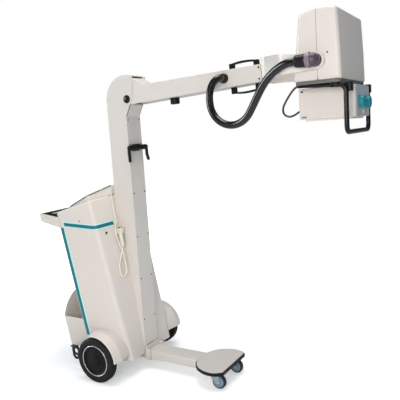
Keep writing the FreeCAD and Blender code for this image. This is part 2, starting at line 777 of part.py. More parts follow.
plate = plate_face(0.0, plate_low_z, plate_high_z)
plate = plate.cut(box(0, beam_front_x + seat, -beam_half - seat, beam_half + seat, 0, beam_high_z + 0.2))
stem_holes = [rod((caster_x, y, 0), (caster_x, y, plate_high_z - 6), caster_stem_radius + running)
              for y in (-caster_y, caster_y)]
nodes["foot_plate"] = plate.cut(stem_holes)
bumper = plate_face(bumper_thick, plate_low_z, plate_high_z - 3).cut(plate_face(seat, 0, 300))
nodes["foot_bumper"] = bumper.cut(box(0, beam_front_x, -beam_half - seat, beam_half + seat, 0, 300))


def caster(side):
    """Swivelling fork with a trailing wheel."""
    y = side * caster_y
    name = "left" if side > 0 else "right"
    wheel_x = caster_x + caster_trail
    wheel_z = caster_radius
    half = caster_width / 2
    cheek = 3.0
    gap = 1.5
    crown_low = 2 * caster_radius + 3.0
    top = plate_low_z - seat
    parts = []
    parts.append(spin_z([(0.0, crown_low), (20.0, crown_low), (20.0, top), (0.0, top)], caster_x, y))
    parts.append(rod((caster_x, y, top - 1), (caster_x, y, plate_high_z - 7), caster_stem_radius))
    for way in (-1, 1):
        y0, y1 = sorted((y + way * (half + gap), y + way * (half + gap + cheek)))
        parts.append(prism_xz([(caster_x - 18, top), (caster_x - 16, wheel_z + 12), (wheel_x - 10, wheel_z - 11),
                               (wheel_x + 11, wheel_z - 7), (wheel_x + 9, wheel_z + 12), (caster_x + 20, top)],
                              y0, y1, [0, 12, 9, 9, 6, 0]))
    bridge = box(caster_x - 18, caster_x + 19.5, y - half - gap - cheek, y + half + gap + cheek, crown_low, top)
    parts.append(bridge)
    axle = rod((wheel_x, y - half - gap - cheek - 2, wheel_z), (wheel_x, y + half + gap + cheek + 2, wheel_z), 4.0)
    nodes["caster_fork_" + name] = fuse(parts[0], *(parts[1:] + [axle]))
    rim = caster_radius - 9.0
    nodes["caster_tyre_" + name] = spin_y([(y - half, rim), (y - half, caster_radius), (y + half, caster_radius),
                                          (y + half, rim)], wheel_x, wheel_z, [0, 5, 5, 0])
    hub = [(y - half + 1, rim - seat), (y - half + 1, rim - 5), (y - 4, rim - 8), (y - 4, 12), (y - half - 1, 10),
           (y - half - 1, 4.0 + running), (y + half + 1, 4.0 + running), (y + half + 1, 10), (y + 4, 12),
           (y + 4, rim - 8), (y + half - 1, rim - 5), (y + half - 1, rim - seat)]
    nodes["caster_hub_" + name] = spin_y(hub, wheel_x, wheel_z)


for side in (1, -1):
    caster(side)

# Brake pedal: a looped plate on a pin, behind the right rear wheel

def brake_pedal():
    y0, y1 = brake_y - brake_thick, brake_y

    def placed(*points):
        """Points given from the pedal's pin."""
        return [(brake_x + x, brake_z + z) for x, z in points]
    loop = prism_xz(placed((-92, -40), (-86, 8), (-102, 36), (-128, 38), (-143, 20), (-140, -28), (-122, -46)),
                    y0, y1, [14, 16, 12, 12, 16, 16, 12])
    bar = prism_xz(placed((14, -12), (14, 12), (-96, 14), (-96, -18)), y0, y1, [11, 11, 0, 0])
    tread = box(brake_x - 142, brake_x - 96, y0 - 10, y1, brake_z + 30, brake_z + 38)
    tread = tread.makeFillet(3.0, [e for e in tread.Edges if e.BoundBox.YLength > 10])
    plate = fuse(loop, bar, tread)
    upper = prism_xz(placed((-100, -10), (-100, 18), (-128, 20), (-128, -8)), y0 - 1, y1 + 1, 10)
    lower = prism_xz(placed((-104, -34), (-104, -20), (-128, -18), (-128, -30)), y0 - 1, y1 + 1, 6)
    pin_hole = rod((brake_x, y0 - 1, brake_z), (brake_x, y1 + 1, brake_z), brake_pin_radius + running)
    return plate.cut(upper).cut(lower).cut(pin_hole)


nodes["brake_pedal"] = brake_pedal()

# Arm

def arm_outline(inset, y0, y1):
    """Side view of the arm in its own frame, drawn inwards by inset."""
    low1 = arm_low_h + inset
    high0, high1 = arm_high_h[0] - inset, arm_high_h[1] - inset
    drum = drum_radius - inset
    start = math.radians(150)
    stop = math.radians(64)

    def polar(angle):
        return V(drum * math.cos(angle), y0, drum * math.sin(angle))
    knee = V(arm_knee_s - inset * 0.4, y0, high0)
    low_corner, high_corner = V(arm_end_s, y0, low1), V(arm_end_s, y0, high1)
    eye = plate_eye_radius - inset
    a0 = math.radians(eye_angle)
    tail = V(eye * math.cos(math.radians(200)), y0, eye * math.sin(math.radians(200)))
    turn = V(eye * math.cos(math.radians(-110)), y0, eye * math.sin(math.radians(-110)))
    foot = V(eye * math.cos(a0), y0, eye * math.sin(a0))
    edges = [Part.LineSegment(foot, low_corner).toShape(), Part.LineSegment(low_corner, high_corner).toShape(),
             Part.LineSegment(high_corner, knee).toShape(), Part.LineSegment(knee, polar(stop)).toShape(),
             Part.Arc(polar(stop), polar((start + stop) / 2), polar(start)).toShape(),
             Part.LineSegment(polar(start), tail).toShape(), Part.Arc(tail, turn, foot).toShape()]
    return Part.Face(Part.Wire(edges)).extrude(V(0, y1 - y0, 0))


arm_solid = arm_outline(0.0, -arm_half, arm_half)
arm_core = arm_outline(arm_sheet, -arm_half + arm_sheet, arm_half - arm_sheet)
arm_core = arm_core.cut(box(arm_end_s - arm_sheet, 2000, -200, 200, -200, 200))
under_open = box(-60, floor_start_s, -arm_half + arm_sheet, arm_half - arm_sheet, -200, 0)
rear_open = box(-200, -20, -arm_half + arm_sheet, arm_half - arm_sheet, -200, 60)
hub = rod((0, -arm_half + arm_sheet, 0), (0, arm_half - arm_sheet, 0), hub_radius)
arm = fuse(arm_solid.cut(arm_core).cut(under_open).cut(rear_open), hub)
arm = arm.cut(rod((0, -100, 0), (0, 100, 0), pivot_radius + running))

end_screws = []
for h in (-10.0, 42.0):
    for y in (-arm_half, arm_half):
        way = -1 if y < 0 else 1
        at = arm_end_s - 11
        end_screws.append(on_arm(rod((at, y + way * 0.2, h), (at, y + way * 2.0, h), 4.5)))
nodes["arm_screws"] = group(end_screws)


def arm_low(s):
    """Height of the arm's underside, which runs from the pivot eye to the arm's end."""
    foot_s = plate_eye_radius * math.cos(math.radians(eye_angle))
    foot_h = plate_eye_radius * math.sin(math.radians(eye_angle))
    return lerp((foot_h, arm_low_h), (s - foot_s) / (arm_end_s - foot_s))


def arm_high(s):
    return lerp(arm_high_h, (s - arm_knee_s) / (arm_end_s - arm_knee_s))


def arm_grip(up):
    """D handle: two feet and a thin bowed bar between them."""
    s0, s1 = grip_s
    edge = arm_high if up > 0 else arm_low
    sag = up * seat * 2
    base0 = edge(s0) + sag
    base1 = edge(s1) + sag
    half = grip_deep / 2
    bow = 6.0
    feet = []
    for s, base in ((s0, base0), (s1, base1)):
        h0, h1 = sorted((base, base + up * grip_rise))
        foot = box(s - grip_foot / 2, s + grip_foot / 2, -half, half, h0, h1)
        feet.append(foot)
    top0, top1 = base0 + up * grip_rise, base1 + up * grip_rise
    mid = (s0 + s1) / 2
    top_mid = (top0 + top1) / 2 + up * bow
    outer = Part.Arc(V(s0 - grip_foot / 2, -half, top0 - up * 3), V(mid, -half, top_mid),
                     V(s1 + grip_foot / 2, -half, top1 - up * 3)).toShape()
    inner = Part.Arc(V(s0 - grip_foot / 2, -half, top0 - up * (grip_bar + 1)),
                     V(mid, -half, top_mid - up * grip_bar),
                     V(s1 + grip_foot / 2, -half, top1 - up * (grip_bar + 1))).toShape()
    a, b = outer.Vertexes[0].Point, inner.Vertexes[0].Point
    c, d = outer.Vertexes[-1].Point, inner.Vertexes[-1].Point
    wire = Part.Wire(Part.__sortEdges__([outer, Part.LineSegment(c, d).toShape(), inner,
                                         Part.LineSegment(b, a).toShape()]))
    bar = Part.Face(wire).extrude(V(0, grip_deep, 0))
    return fuse(bar, *feet)


nodes["arm_grips"] = on_arm(group([arm_grip(1), arm_grip(-1)]))
buffer_top = arm_low(buffer_s) - seat
pad = rod((buffer_s, 0, buffer_top), (buffer_s, 0, buffer_top - buffer_height), buffer_radius)
pad = pad.makeFillet(5.0, [e for e in pad.Edges if abs(e.BoundBox.ZMax - buffer_top + buffer_height) < 0.1])
nodes["arm_buffer"] = on_arm(pad)


def hose_gland():
    """Bush on the arm's right face that the hose comes out of."""
    base = -arm_half - seat
    return on_arm(spin_y([(base, 0.0), (base, 23.0), (base - 7, 23.0), (base - 12, 20.0), (base - 26, 20.0),
                          (base - 26, 0.0)], gland_s, gland_h))


nodes["hose_gland"] = hose_gland()

# Fork on the end of the arm

def fork_shape():
    end = tilt_s + fork_eye
    out = [(fork_s, -fork_neck_half), (fork_s + 16, -fork_neck_half), (fork_flare_s, -fork_half), (end, -fork_half),
           (end, -fork_half + fork_thick), (fork_flare_s + 8, -fork_half + fork_thick),
           (fork_s + fork_base + 4, -fork_neck_half + 6), (fork_s + fork_base + 4, fork_neck_half - 6),
           (fork_flare_s + 8, fork_half - fork_thick), (end, fork_half - fork_thick), (end, fork_half),
           (fork_flare_s, fork_half), (fork_s + 16, fork_neck_half), (fork_s, fork_neck_half)]
    radii = [5, 20, 60, 0, 0, 46, 20, 20, 46, 0, 0, 60, 20, 5]
    plan = prism_xy(out, -200, 200, radii)
    half = fork_eye
    side = prism_xz([(fork_s - 1, neck_low_h), (fork_s + 20, neck_low_h), (tilt_s - 60, tilt_h - half),
                     (end, tilt_h - half), (end, tilt_h + half), (tilt_s - 60, tilt_h + half),
                     (fork_s + 20, neck_high_h), (fork_s - 1, neck_high_h)],
                    -400, 400, [0, 30, 60, half - 1, half - 1, 60, 30, 0])
    yoke = plan.common(side)
    yoke = yoke.cut(rod((tilt_s, -400, tilt_h), (tilt_s, 400, tilt_h), trunnion_radius + running))
    stub = rod((arm_end_s - 40, 0, roll_h), (fork_s + 4, 0, roll_h), 22.0)
    collar_ring = rod((arm_end_s + clear, 0, roll_h), (fork_s + 4, 0, roll_h), neck_radius)
    return fuse(yoke, stub, collar_ring)


arm_bush = rod((arm_end_s - 60, 0, roll_h), (arm_end_s - arm_sheet, 0, roll_h), 32.0)
arm_bush = arm_bush.cut(rod((arm_end_s - 70, 0, roll_h), (arm_end_s + 10, 0, roll_h), 22.0 + running))
arm_with_mouth = arm.cut(rod((arm_end_s - 10, 0, roll_h), (arm_end_s + 10, 0, roll_h), 22.0 + running))
nodes["arm_beam"] = on_arm(fuse(arm_with_mouth, arm_bush))

tilt_x, _, tilt_z = arm_point(tilt_s, 0, tilt_h)

pivot_ring = spin_y([(-fork_half + fork_thick - 1, trunnion_radius + running),
                     (-fork_half + fork_thick - 1, fork_eye), (-head_half - clear, fork_eye - 4),
                     (-head_half - clear, trunnion_radius + running)], tilt_x, tilt_z)
nodes["fork_yoke"] = fuse(on_arm(fork_shape()), *both_sides(pivot_ring))

elbow_y = -fork_half - 31.0
elbow_radius = 27.0
elbow = Part.makeSphere(elbow_radius, V(tilt_x, elbow_y, tilt_z))
elbow = fuse(elbow, rod((tilt_x, elbow_y, tilt_z), (tilt_x - 10, elbow_y, tilt_z), elbow_radius),
             rod((tilt_x, elbow_y, tilt_z), (tilt_x, -fork_half - seat, tilt_z), 23.0))
band_x = tilt_x - 8
band_width = 20.0
elbow_bore = rod((tilt_x, elbow_y, tilt_z), (tilt_x, 0, tilt_z), trunnion_radius + 3)
band = rod((band_x, elbow_y, tilt_z), (band_x - band_width, elbow_y, tilt_z), elbow_radius + 1.5)
nodes["hose_elbow"] = fuse(elbow, band).cut(elbow_bore)
cuff_x = band_x - band_width - seat
cuff = Part.makeCone(elbow_radius - 0.5, 25.0, 46.0, V(cuff_x, elbow_y, tilt_z), V(-1, 0, 0))
cuff_end = cuff_x - 46.0
hose_radius = 17.0
nodes["hose_cuff"] = cuff.cut(rod((cuff_end - 1, elbow_y, tilt_z), (cuff_end + 12, elbow_y, tilt_z),
                                  hose_radius + clear))

# Head: covers, base plate, tank, trunnions and the guide bar

def head_block(inset):
    rear = [(tilt_x + x + inset, tilt_z + z) for x, z in head_rear]
    front = [(tilt_x + x - inset, tilt_z + z) for x, z in head_front]
    rear[-1] = (rear[-1][0], rear[-1][1] - inset)
    front[0] = (front[0][0], front[0][1] - inset)
    top = tilt_z + head_crown_z - inset
    outline = rear + [(tilt_x - 20, top), (tilt_x + 45, top)] + front
    radii = [6, 200, 16, 90, 120, 16, 200, 6]
    block = prism_xz(outline, -head_half + inset, head_half - inset, radii)
    return block


def soft_head(inset):
    """The head's block with its side edges rounded, except along the flat bottom."""
    block = head_block(inset)
    edges = [e for e in block.Edges
             if abs(abs(e.BoundBox.Center.y) - head_half + inset) < 0.1 and e.BoundBox.YLength < 0.1
             and e.BoundBox.ZMax > tilt_z + head_rear[0][1] + 1.0]
    return block.makeFillet(head_corner - inset, edges)


head_solid = soft_head(0.0)
head_core = soft_head(head_wall)
head_mouth = box(tilt_x - 84, tilt_x + 80, -head_half + 14, head_half - 14, tilt_z - 90, tilt_z - 60)
head_shell = head_solid.cut(head_core).cut(head_mouth)
head_shell = head_shell.cut(rod((tilt_x, -300, tilt_z), (tilt_x, 300, tilt_z), 24.0))
far = 400.0
split = head_split / 2
rear_room = box(tilt_x - far, tilt_x - split, -far, far, tilt_z - far, tilt_z + far)
front_room = box(tilt_x + split, tilt_x + far, -far, far, tilt_z - far, tilt_z + far)
nodes["head_rear_cover"] = head_shell.common(rear_room)
nodes["head_front_cover"] = head_shell.common(front_room)
base_high = tilt_z + head_rear[0][1] - seat
base = prism_xy([(tilt_x - base_half_x, -base_half_y), (tilt_x + base_half_x - 8, -base_half_y),
                 (tilt_x + base_half_x - 8, base_half_y), (tilt_x - base_half_x, base_half_y)],
                base_high - base_thick, base_high, 14.0)
coll_x = tilt_x + coll_shift
base = base.cut(rod((coll_x, 0, base_high - 40), (coll_x, 0, base_high + 5), 50.0 + running))
nodes["head_base_plate"] = base
tank = box(tilt_x - tank_half_x, tilt_x + tank_half_x, -tank_half_y, tank_half_y, tilt_z + tank_low,
           tilt_z + tank_high)
tank = tank.makeFillet(14.0, [e for e in tank.Edges if e.BoundBox.YLength > 100])
foot_pad = box(tilt_x - 50, tilt_x + 50, -130, 130, base_high + seat, tilt_z + tank_low + 1)
foot_pad = foot_pad.cut(rod((coll_x, 0, 0), (coll_x, 0, 3000), 52.0))
tank = fuse(tank, foot_pad)
pins = [rod((tilt_x, s * (tank_half_y - 12), tilt_z), (tilt_x, s * (fork_half + 6), tilt_z), trunnion_radius)
        for s in (-1, 1)]
nodes["tube_tank"] = fuse(tank, *pins)

bar_z = base_high - base_thick - bar_radius - seat
bar_points = [(tilt_x + bar_rear, -bar_half, bar_z), (tilt_x + bar_front, -bar_half, bar_z),
              (tilt_x + bar_front, -bar_half, tilt_z - bar_drop), (tilt_x + bar_front, bar_half, tilt_z - bar_drop),
              (tilt_x + bar_front, bar_half, bar_z), (tilt_x + bar_rear, bar_half, bar_z)]
nodes["guide_bar"] = bent_bar(bar_points, bar_radius, bar_bend)

# Collimator: turntable ring, body, front panel, knobs, lamp button, window

coll_top = tilt_z + coll_high
coll_low = coll_top - coll_height
turn_ring = rod((coll_x, 0, coll_top - 2), (coll_x, 0, base_high - base_thick - clear), ring_out)
turn_ring = fuse(turn_ring, rod((coll_x, 0, coll_top - 2), (coll_x, 0, base_high - 2), 50.0))
nodes["collimator_ring"] = turn_ring.cut(box(coll_x - 400, coll_x + 400, -400, 400, coll_top - 50, coll_top + seat))
body = box(coll_x - coll_half_x, coll_x + coll_half_x - coll_panel, -coll_half_y, coll_half_y, coll_low, coll_top)
body = body.makeFillet(6.0, [e for e in body.Edges if e.BoundBox.XLength > 100 or e.BoundBox.ZLength > 100])


def pressed_panel(side):
    """Raised rounded field on the collimator's side, rounder at its bottom."""
    y0, y1 = sorted((side * (coll_half_y - 1), side * (coll_half_y + 1.5)))
    return prism_xz([(coll_x - 95, coll_top - 2), (coll_x - 62, coll_low + 16), (coll_x + 52, coll_low + 16),
                     (coll_x + 94, coll_top - 2)], y0, y1, [0, 28, 28, 0])


window_hole_box = box(coll_x - 60, coll_x + 60, -60, 60, coll_low - 1, coll_low + 10)
body = fuse(body, pressed_panel(1), pressed_panel(-1)).cut(window_hole_box)
rails = []
for s in (-1, 1):
    rail = box(coll_x - 100, coll_x + 100, min(s * 84, s * 96), max(s * 84, s * 96), coll_low - 8, coll_low + 1)
    groove = box(coll_x - 101, coll_x + 101, min(s * 83, s * 90), max(s * 83, s * 90), coll_low - 5, coll_low - 1)
    rails.append(rail.cut(groove))
nodes["collimator_body"] = fuse(body, *rails)
nodes["collimator_window"] = box(coll_x - 60 + clear, coll_x + 60 - clear, -60 + clear, 60 - clear,
                                 coll_low + 4, coll_low + 10 - seat)
face_x = coll_x + coll_half_x
front = prism_yz([(-coll_half_y + 2, coll_low + 2), (coll_half_y - 2, coll_low + 2), (coll_half_y - 2, coll_top - 2),
                  (-coll_half_y + 2, coll_top - 2)], face_x - coll_panel + seat, face_x, 6.0)
knob_at = tilt_z + knob_z
button_at = tilt_z + button_z
stem_radius = 4.0
for y in (-knob_y, knob_y):
    hole = rod((face_x - 30, y, knob_at), (face_x + 5, y, knob_at), stem_radius + running)
    front = front.cut(hole)
    nodes["collimator_body"] = nodes["collimator_body"].cut(rod((face_x - 22, y, knob_at),
                                                                (face_x, y, knob_at), stem_radius + running))
button_hole = rod((face_x - 12, 0, button_at), (face_x + 5, 0, button_at), button_radius + running)
front = front.cut(button_hole)
nodes["collimator_body"] = nodes["collimator_body"].cut(button_hole)
nodes["collimator_panel"] = front
for y, name in ((-knob_y, "right"), (knob_y, "left")):
    grip = rod((face_x + seat, y, knob_at), (face_x + knob_length, y, knob_at), knob_radius)
    grip = grip.makeFillet(2.5, [e for e in grip.Edges if abs(e.BoundBox.XMin - face_x - knob_length) < 0.1])
    flutes = []
    for k in range(12):
        turn = math.radians(30 * k)
        fy, fz = y + (knob_radius + 1.6) * math.cos(turn), knob_at + (knob_radius + 1.6) * math.sin(turn)
        flutes.append(rod((face_x + 5, fy, fz), (face_x + knob_length + 1, fy, fz), 3.2))
    grip = grip.cut(flutes)
    nodes["field_knob_" + name] = fuse(grip, rod((face_x - 21, y, knob_at), (face_x + 4, y, knob_at), stem_radius))
nodes["lamp_button"] = rod((face_x - 12 + button_travel + clear, 0, button_at), (face_x + 5, 0, button_at),
                           button_radius)

# Hose between the arm and the fork, the collimator's lead, and the hand switch with its lead

gland_x, _, gland_z = arm_point(gland_s, 0, gland_h)
gland_y = -arm_half - seat - 26
hose_points = [(gland_x, gland_y, gland_z), (gland_x, -97, gland_z), (740, -113, 1555), (724, -125, 1535),
               (714, -134, 1504), (712, -141, 1464), (722, -147, 1411), (756, -153, 1365), (808, -160, 1339),
               (866, -168, 1339), (918, -178, 1365), (953, -189, 1411), (986, -200, 1458),
               (1022, -213, 1503), (1068, -227, 1541), (1120, -240, 1566), (1154, elbow_y, tilt_z),
               (cuff_end + 12, elbow_y, tilt_z)]
hose, hose_bends, hose_length = tube_path(hose_points, hose_radius)
nodes["hose"] = hose

lead_radius = 4.5
lead_y = -110.0
lead_start = (tilt_x - base_half_x - seat, lead_y, base_high - base_thick / 2)
lead_end = (coll_x - coll_half_x - 2.8, -97, 1377)
lead_points = [lead_start, (1136, lead_y, 1486), (1115, lead_y, 1474), (1095, -111, 1450), (1077, -112, 1424),
               (1062, -111, 1398), (1063, -108, 1370), (1086, -103, 1356), (1113, -99, 1363), lead_end]
lead, lead_bends, lead_length = tube_path(lead_points, lead_radius)
nodes["collimator_lead"] = lead

# Hand switch on its cord, held against the cabinet's slanting front

def quarter(y, z, proud):
    """A point in front of the slanting face on the right side, proud of its surface."""
    t = (z - cab_low_z) / (cab_high_z - cab_low_z)
    run_x = lerp(cab_ridge_x, t) - lerp(cab_front_x, t)
    run_y = lerp(cab_ridge_half, t) - col_half
    length = math.hypot(run_x, run_y)
    x = lerp(cab_front_x, t) + run_x * (-y - col_half) / run_y
    return V(x + proud * run_y / length, y + proud * run_x / length, z)


def quarter_block(y0, y1, z0, z1, proud0, proud1, radius=0.0):
    """A block on the slanting face, from proud0 to proud1 in front of it."""
    low, high = quarter(y0, z0, 0), quarter(y1, z0, 0)
    up = quarter(y0, z1, 0) - low
    along = high - low
    out = along.cross(up)
    if out.x < 0:
        out = out * -1
    out.normalize()
    corners = [low, high, high + up, low + up]
    face = Part.Face(Part.makePolygon(corners + [low]))
    face.translate(out * proud0)
    return face.extrude(out * (proud1 - proud0))


cord_radius = 4.0
cord_points = [(24, -92, 1008), (33, -95, 940), (45, -94, 853), (47, -113, 800), (57, -106, 750), (71, -98, 700),
               (81, -92, 655), (84, -89, 612), (87, -89, 574), (87, -101, 551), (83, -124, 550),
               (78, -136, 574), (73, -131, 610), (68, -115, 643), (67, -101, 668), (70, -91, 690), (72, -87, 712)]
cord, cord_bends, cord_length = tube_path(cord_points, cord_radius)
nodes["exposure_cord"] = cord
boss_top = V(*cord_points[0]) + V(0, 0, seat)
boss = Part.makeCone(7.0, 9.0, 16.0, boss_top, V(-1.4, 0, 16))
stub = rod((boss_top.x - 1, boss_top.y, boss_top.z + 12), (boss_top.x - 16, boss_top.y + 14, boss_top.z + 12), 7.0)
nodes["console_housing"] = fuse(nodes["console_housing"], boss, stub)

switch_foot = V(*cord_points[-1]) + V(0, 0, 1.4)
switch_head = quarter(-84.0, 828.0, 17.0)
switch_way = (switch_head - switch_foot)
switch_way.normalize()
switch_radius = 12.0
lower = Part.makeCone(7.0, switch_radius, 22.0, switch_foot, switch_way)
body_foot = switch_foot + switch_way * 22.0
grip_length = 82.0
switch_body = Part.makeCylinder(switch_radius, grip_length, body_foot, switch_way)
switch_top = body_foot + switch_way * grip_length
push_radius = 6.0
push_travel = 4.0
push_hole = Part.makeCylinder(push_radius + running, 16.0, switch_top - switch_way * 14.0, switch_way)
nodes["hand_switch"] = fuse(lower, switch_body).cut(push_hole)
push = Part.makeCylinder(push_radius, 14.0, switch_top - switch_way * (14.0 - push_travel - 1.0), switch_way)
nodes["exposure_button"] = push.makeFillet(1.5, [push.Edges[0]])
hold_z = 800.0
holder = quarter_block(-100.5, -68.0, hold_z - 14, hold_z + 14, seat, 28.0)
hold_at = switch_foot + switch_way * ((hold_z - switch_foot.z) / switch_way.z)
grip_hole = Part.makeCylinder(switch_radius + seat, 80.0, hold_at - switch_way * 40.0, switch_way)
holder = holder.cut(grip_hole)
front_gap = quarter_block(-94.0, -75.0, hold_z - 20, hold_z + 20, 18.0, 60.0)
clip = quarter_block(-104.0, -82.0, 846, 860, seat, 14.0)
clip_mouth = quarter_block(-99.0, -89.7, 840, 866, 9.0, 30.0)
cord_room, _, _ = tube_path(cord_points, cord_radius + seat)
nodes["switch_holder"] = group([holder.cut(front_gap).cut(cord_room), clip.cut(clip_mouth).cut(cord_room)])

print("hose radii", [round(r) for r in hose_bends], "length", round(hose_length))
print("cord radii", [round(r) for r in cord_bends], "length", round(cord_length))
print("lead radii", [round(r) for r in lead_bends], "length", round(lead_length))

os.makedirs("parts", exist_ok=True)
for name, shape in nodes.items():
    solids = shape.Solids
    good = all(s.isValid() and s.Volume > 0 for s in solids)
    print(name, len(solids), round(sum(s.Volume for s in solids) / 1000.0), "cm3", "" if good else "NOT VALID")
    shape.exportStep(os.path.join("parts", name + ".step"))
print(len(nodes), "nodes")
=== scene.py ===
import json
import math

import bmesh
import bpy
import numpy as np
from bpy.props import FloatProperty, FloatVectorProperty, IntProperty, PointerProperty
from mathutils import Matrix, Vector

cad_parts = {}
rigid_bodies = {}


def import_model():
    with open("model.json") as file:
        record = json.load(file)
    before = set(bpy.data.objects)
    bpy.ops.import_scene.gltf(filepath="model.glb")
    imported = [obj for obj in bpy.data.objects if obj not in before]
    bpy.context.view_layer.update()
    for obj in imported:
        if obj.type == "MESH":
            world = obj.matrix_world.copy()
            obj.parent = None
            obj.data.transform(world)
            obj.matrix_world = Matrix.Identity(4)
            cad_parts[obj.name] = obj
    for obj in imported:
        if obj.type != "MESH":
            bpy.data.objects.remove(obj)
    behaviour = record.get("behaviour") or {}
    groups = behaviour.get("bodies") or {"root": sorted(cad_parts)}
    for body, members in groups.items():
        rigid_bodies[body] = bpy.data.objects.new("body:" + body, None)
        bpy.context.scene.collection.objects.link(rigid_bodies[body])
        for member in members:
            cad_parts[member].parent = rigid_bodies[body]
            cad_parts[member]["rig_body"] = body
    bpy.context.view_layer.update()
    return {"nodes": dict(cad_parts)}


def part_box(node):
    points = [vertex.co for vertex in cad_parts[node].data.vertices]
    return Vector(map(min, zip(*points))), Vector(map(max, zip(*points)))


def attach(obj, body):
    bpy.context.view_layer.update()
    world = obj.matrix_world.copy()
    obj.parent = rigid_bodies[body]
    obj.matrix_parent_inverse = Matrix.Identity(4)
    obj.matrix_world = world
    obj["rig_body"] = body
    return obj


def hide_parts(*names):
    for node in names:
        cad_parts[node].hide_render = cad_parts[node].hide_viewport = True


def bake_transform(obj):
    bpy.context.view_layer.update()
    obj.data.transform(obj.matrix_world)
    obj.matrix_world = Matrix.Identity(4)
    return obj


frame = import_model()

bl_info = {
    "name": "Mobile X-ray Unit",
    "version": (1, 0, 0),
    "blender": (4, 5, 0),
    "location": "View3D > Sidebar > X-ray Unit",
    "description": "Dresses the packed mobile x-ray unit with its finishes, cords and small parts",
    "category": "Object",
}

# Metres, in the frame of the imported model: +X to the front, +Y to the left side, +Z up.
# The origin is the floor point midway between the rear wheels.

CAMERA_PLACE = (1.9399, -2.2953, 1.3319)
CAMERA_TURN = 31.3892
CAMERA_DIP = 7.7247
CAMERA_ROLL = -3.7801
CAMERA_FOCAL_PX = 523.709
CAMERA_SENSOR = 36.0
IMAGE_PX = 400.0

SKY_AMBIENT = 0.40
SKY_TINT = (0.93, 1.06, 1.14)
GLOSSY_SKY = 0.12
PATCH_WAY = (-0.858, -0.475, 0.198)
PATCH_EDGE = (0.972, 0.990)
PATCH_LIGHT = 12.0
FLOOR_CENTRE = (0.5, 0.0, 0.0)
FLOOR_RINGS = (2.0, 5.0, 9.0)
FLOOR_COUNT = 96
GLOW_MIDDLE = (0.3, 0.0, 0.0)
GLOW_REACH = (0.75, 2.2)
GLOW_LIFT = (0.38, 1.2)

# Soft lamps: place, target, side, watts, colour
LAMPS = {"key_softbox": ((1.62, -3.85, 1.8), (0.5, 0.0, 0.85), 1.6, 66.5, (1.0, 0.965, 0.935)),
         "low_softbox": ((1.2, -3.4, 0.6), (0.3, 0.0, 0.4), 1.2, 11.0, (1.0, 0.985, 0.97)),
         "top_softbox": ((0.7, 0.0, 4.2), (0.6, 0.0, 0.0), 2.2, 84.0, (1.0, 1.0, 1.0))}

SIDES = ((-1, "right"), (1, "left"))

WHEEL_RADIUS = 0.125
TRACK_HALF = 0.32
WHEEL_WIDTH = 0.045
CASTER_RADIUS = 0.038
CASTER_AXLE = (0.644, 0.097, 0.038)
CASTER_HALF = 0.012
NUT_OUT = 0.0185

# The cabinet cover's corners on its right side: (x, y) at its foot, and how far they move up to its top
CABINET_FOOT = 0.095
CABINET_RISE = 0.965
CABINET_REAR = ((-0.114, -0.240), (-0.184, -0.006))
CABINET_RIDGE = ((0.156, -0.190), (-0.206, -0.025))
CABINET_FRONT = ((0.148, -0.06), (-0.128, 0.0))

# Steps of its corners' arcs, and where its side starts and ends among the outline's points
CORNER_STEPS = 16
SIDE_START = CORNER_STEPS + 1
SIDE_END = CORNER_STEPS + 2

# Stripes: finish, half width, and the bottom and top of the layer over the cover
STRIPES = {"edge": ("stripe_pale", 0.0148, 0.0002, 0.0010), "core": ("stripe_teal", 0.0094, 0.0008, 0.0014)}
BELT_HEIGHT = 0.855
BELT_START = 0.018
BELT_ROUND_RIDGE = 0.126
UPRIGHT_HEIGHTS = (0.228, 0.836)
UPRIGHT_AT = -0.003

CONSOLE_SLOPE = 0.47
CONSOLE_MIDDLE = (-0.12, 0.9875)
FASCIA_TOP = 0.0009
COVER_THICK = 0.0016

PIVOT = Vector((0.162, 0.0, 1.513))
ARM_RISE = math.radians(2.7)
ARM_HALF = 0.056
ARM_SCREWS_AT = 0.771
SCREW_ROWS = (1.4045, 1.272, 1.005, 0.763, 0.524, 0.286, 0.128)
SCREW_ASIDE = 0.0475
PANEL_FACE = 0.149
REST_AT = (0.163, 1.254)
REST_HALF = 0.084
TILT_AXIS = Vector((1.25041, 0.0, 1.57234))
ELBOW_Y = -0.247
HEAD_HALF = 0.196
FORK_HALF = 0.216
BAR_TOP = 1.47074
BAR_HALF = 0.178
BAR_RADIUS = 0.010
BAR_BEND = 0.028
BAR_FLATNESS = 0.45
COLLIMATOR_X = 1.25741
COLLIMATOR_HALF = (0.122, 0.110)
COLLIMATOR_TOP = 1.47134
COLLIMATOR_LOW = 1.34034

HOSE_ROUTE = [
    (0.7505, -0.0823, 1.5598), (0.7505, -0.097, 1.5598), (0.740, -0.113, 1.555), (0.724, -0.125, 1.535),
    (0.714, -0.134, 1.504), (0.712, -0.141, 1.464), (0.722, -0.147, 1.411), (0.756, -0.153, 1.365),
    (0.808, -0.160, 1.339), (0.866, -0.168, 1.339), (0.918, -0.178, 1.365), (0.953, -0.189, 1.411),
    (0.986, -0.200, 1.458), (1.022, -0.213, 1.503), (1.068, -0.227, 1.541), (1.120, -0.240, 1.566),
    (1.154, -0.247, 1.5723), (1.1881, -0.247, 1.5723)]
LEAD_ROUTE = [
    (1.1511, -0.110, 1.4875), (1.136, -0.110, 1.486), (1.115, -0.110, 1.474), (1.095, -0.111, 1.450),
    (1.077, -0.112, 1.424), (1.062, -0.111, 1.398), (1.063, -0.108, 1.370), (1.086, -0.103, 1.356),
    (1.113, -0.099, 1.363), (1.1326, -0.097, 1.377)]
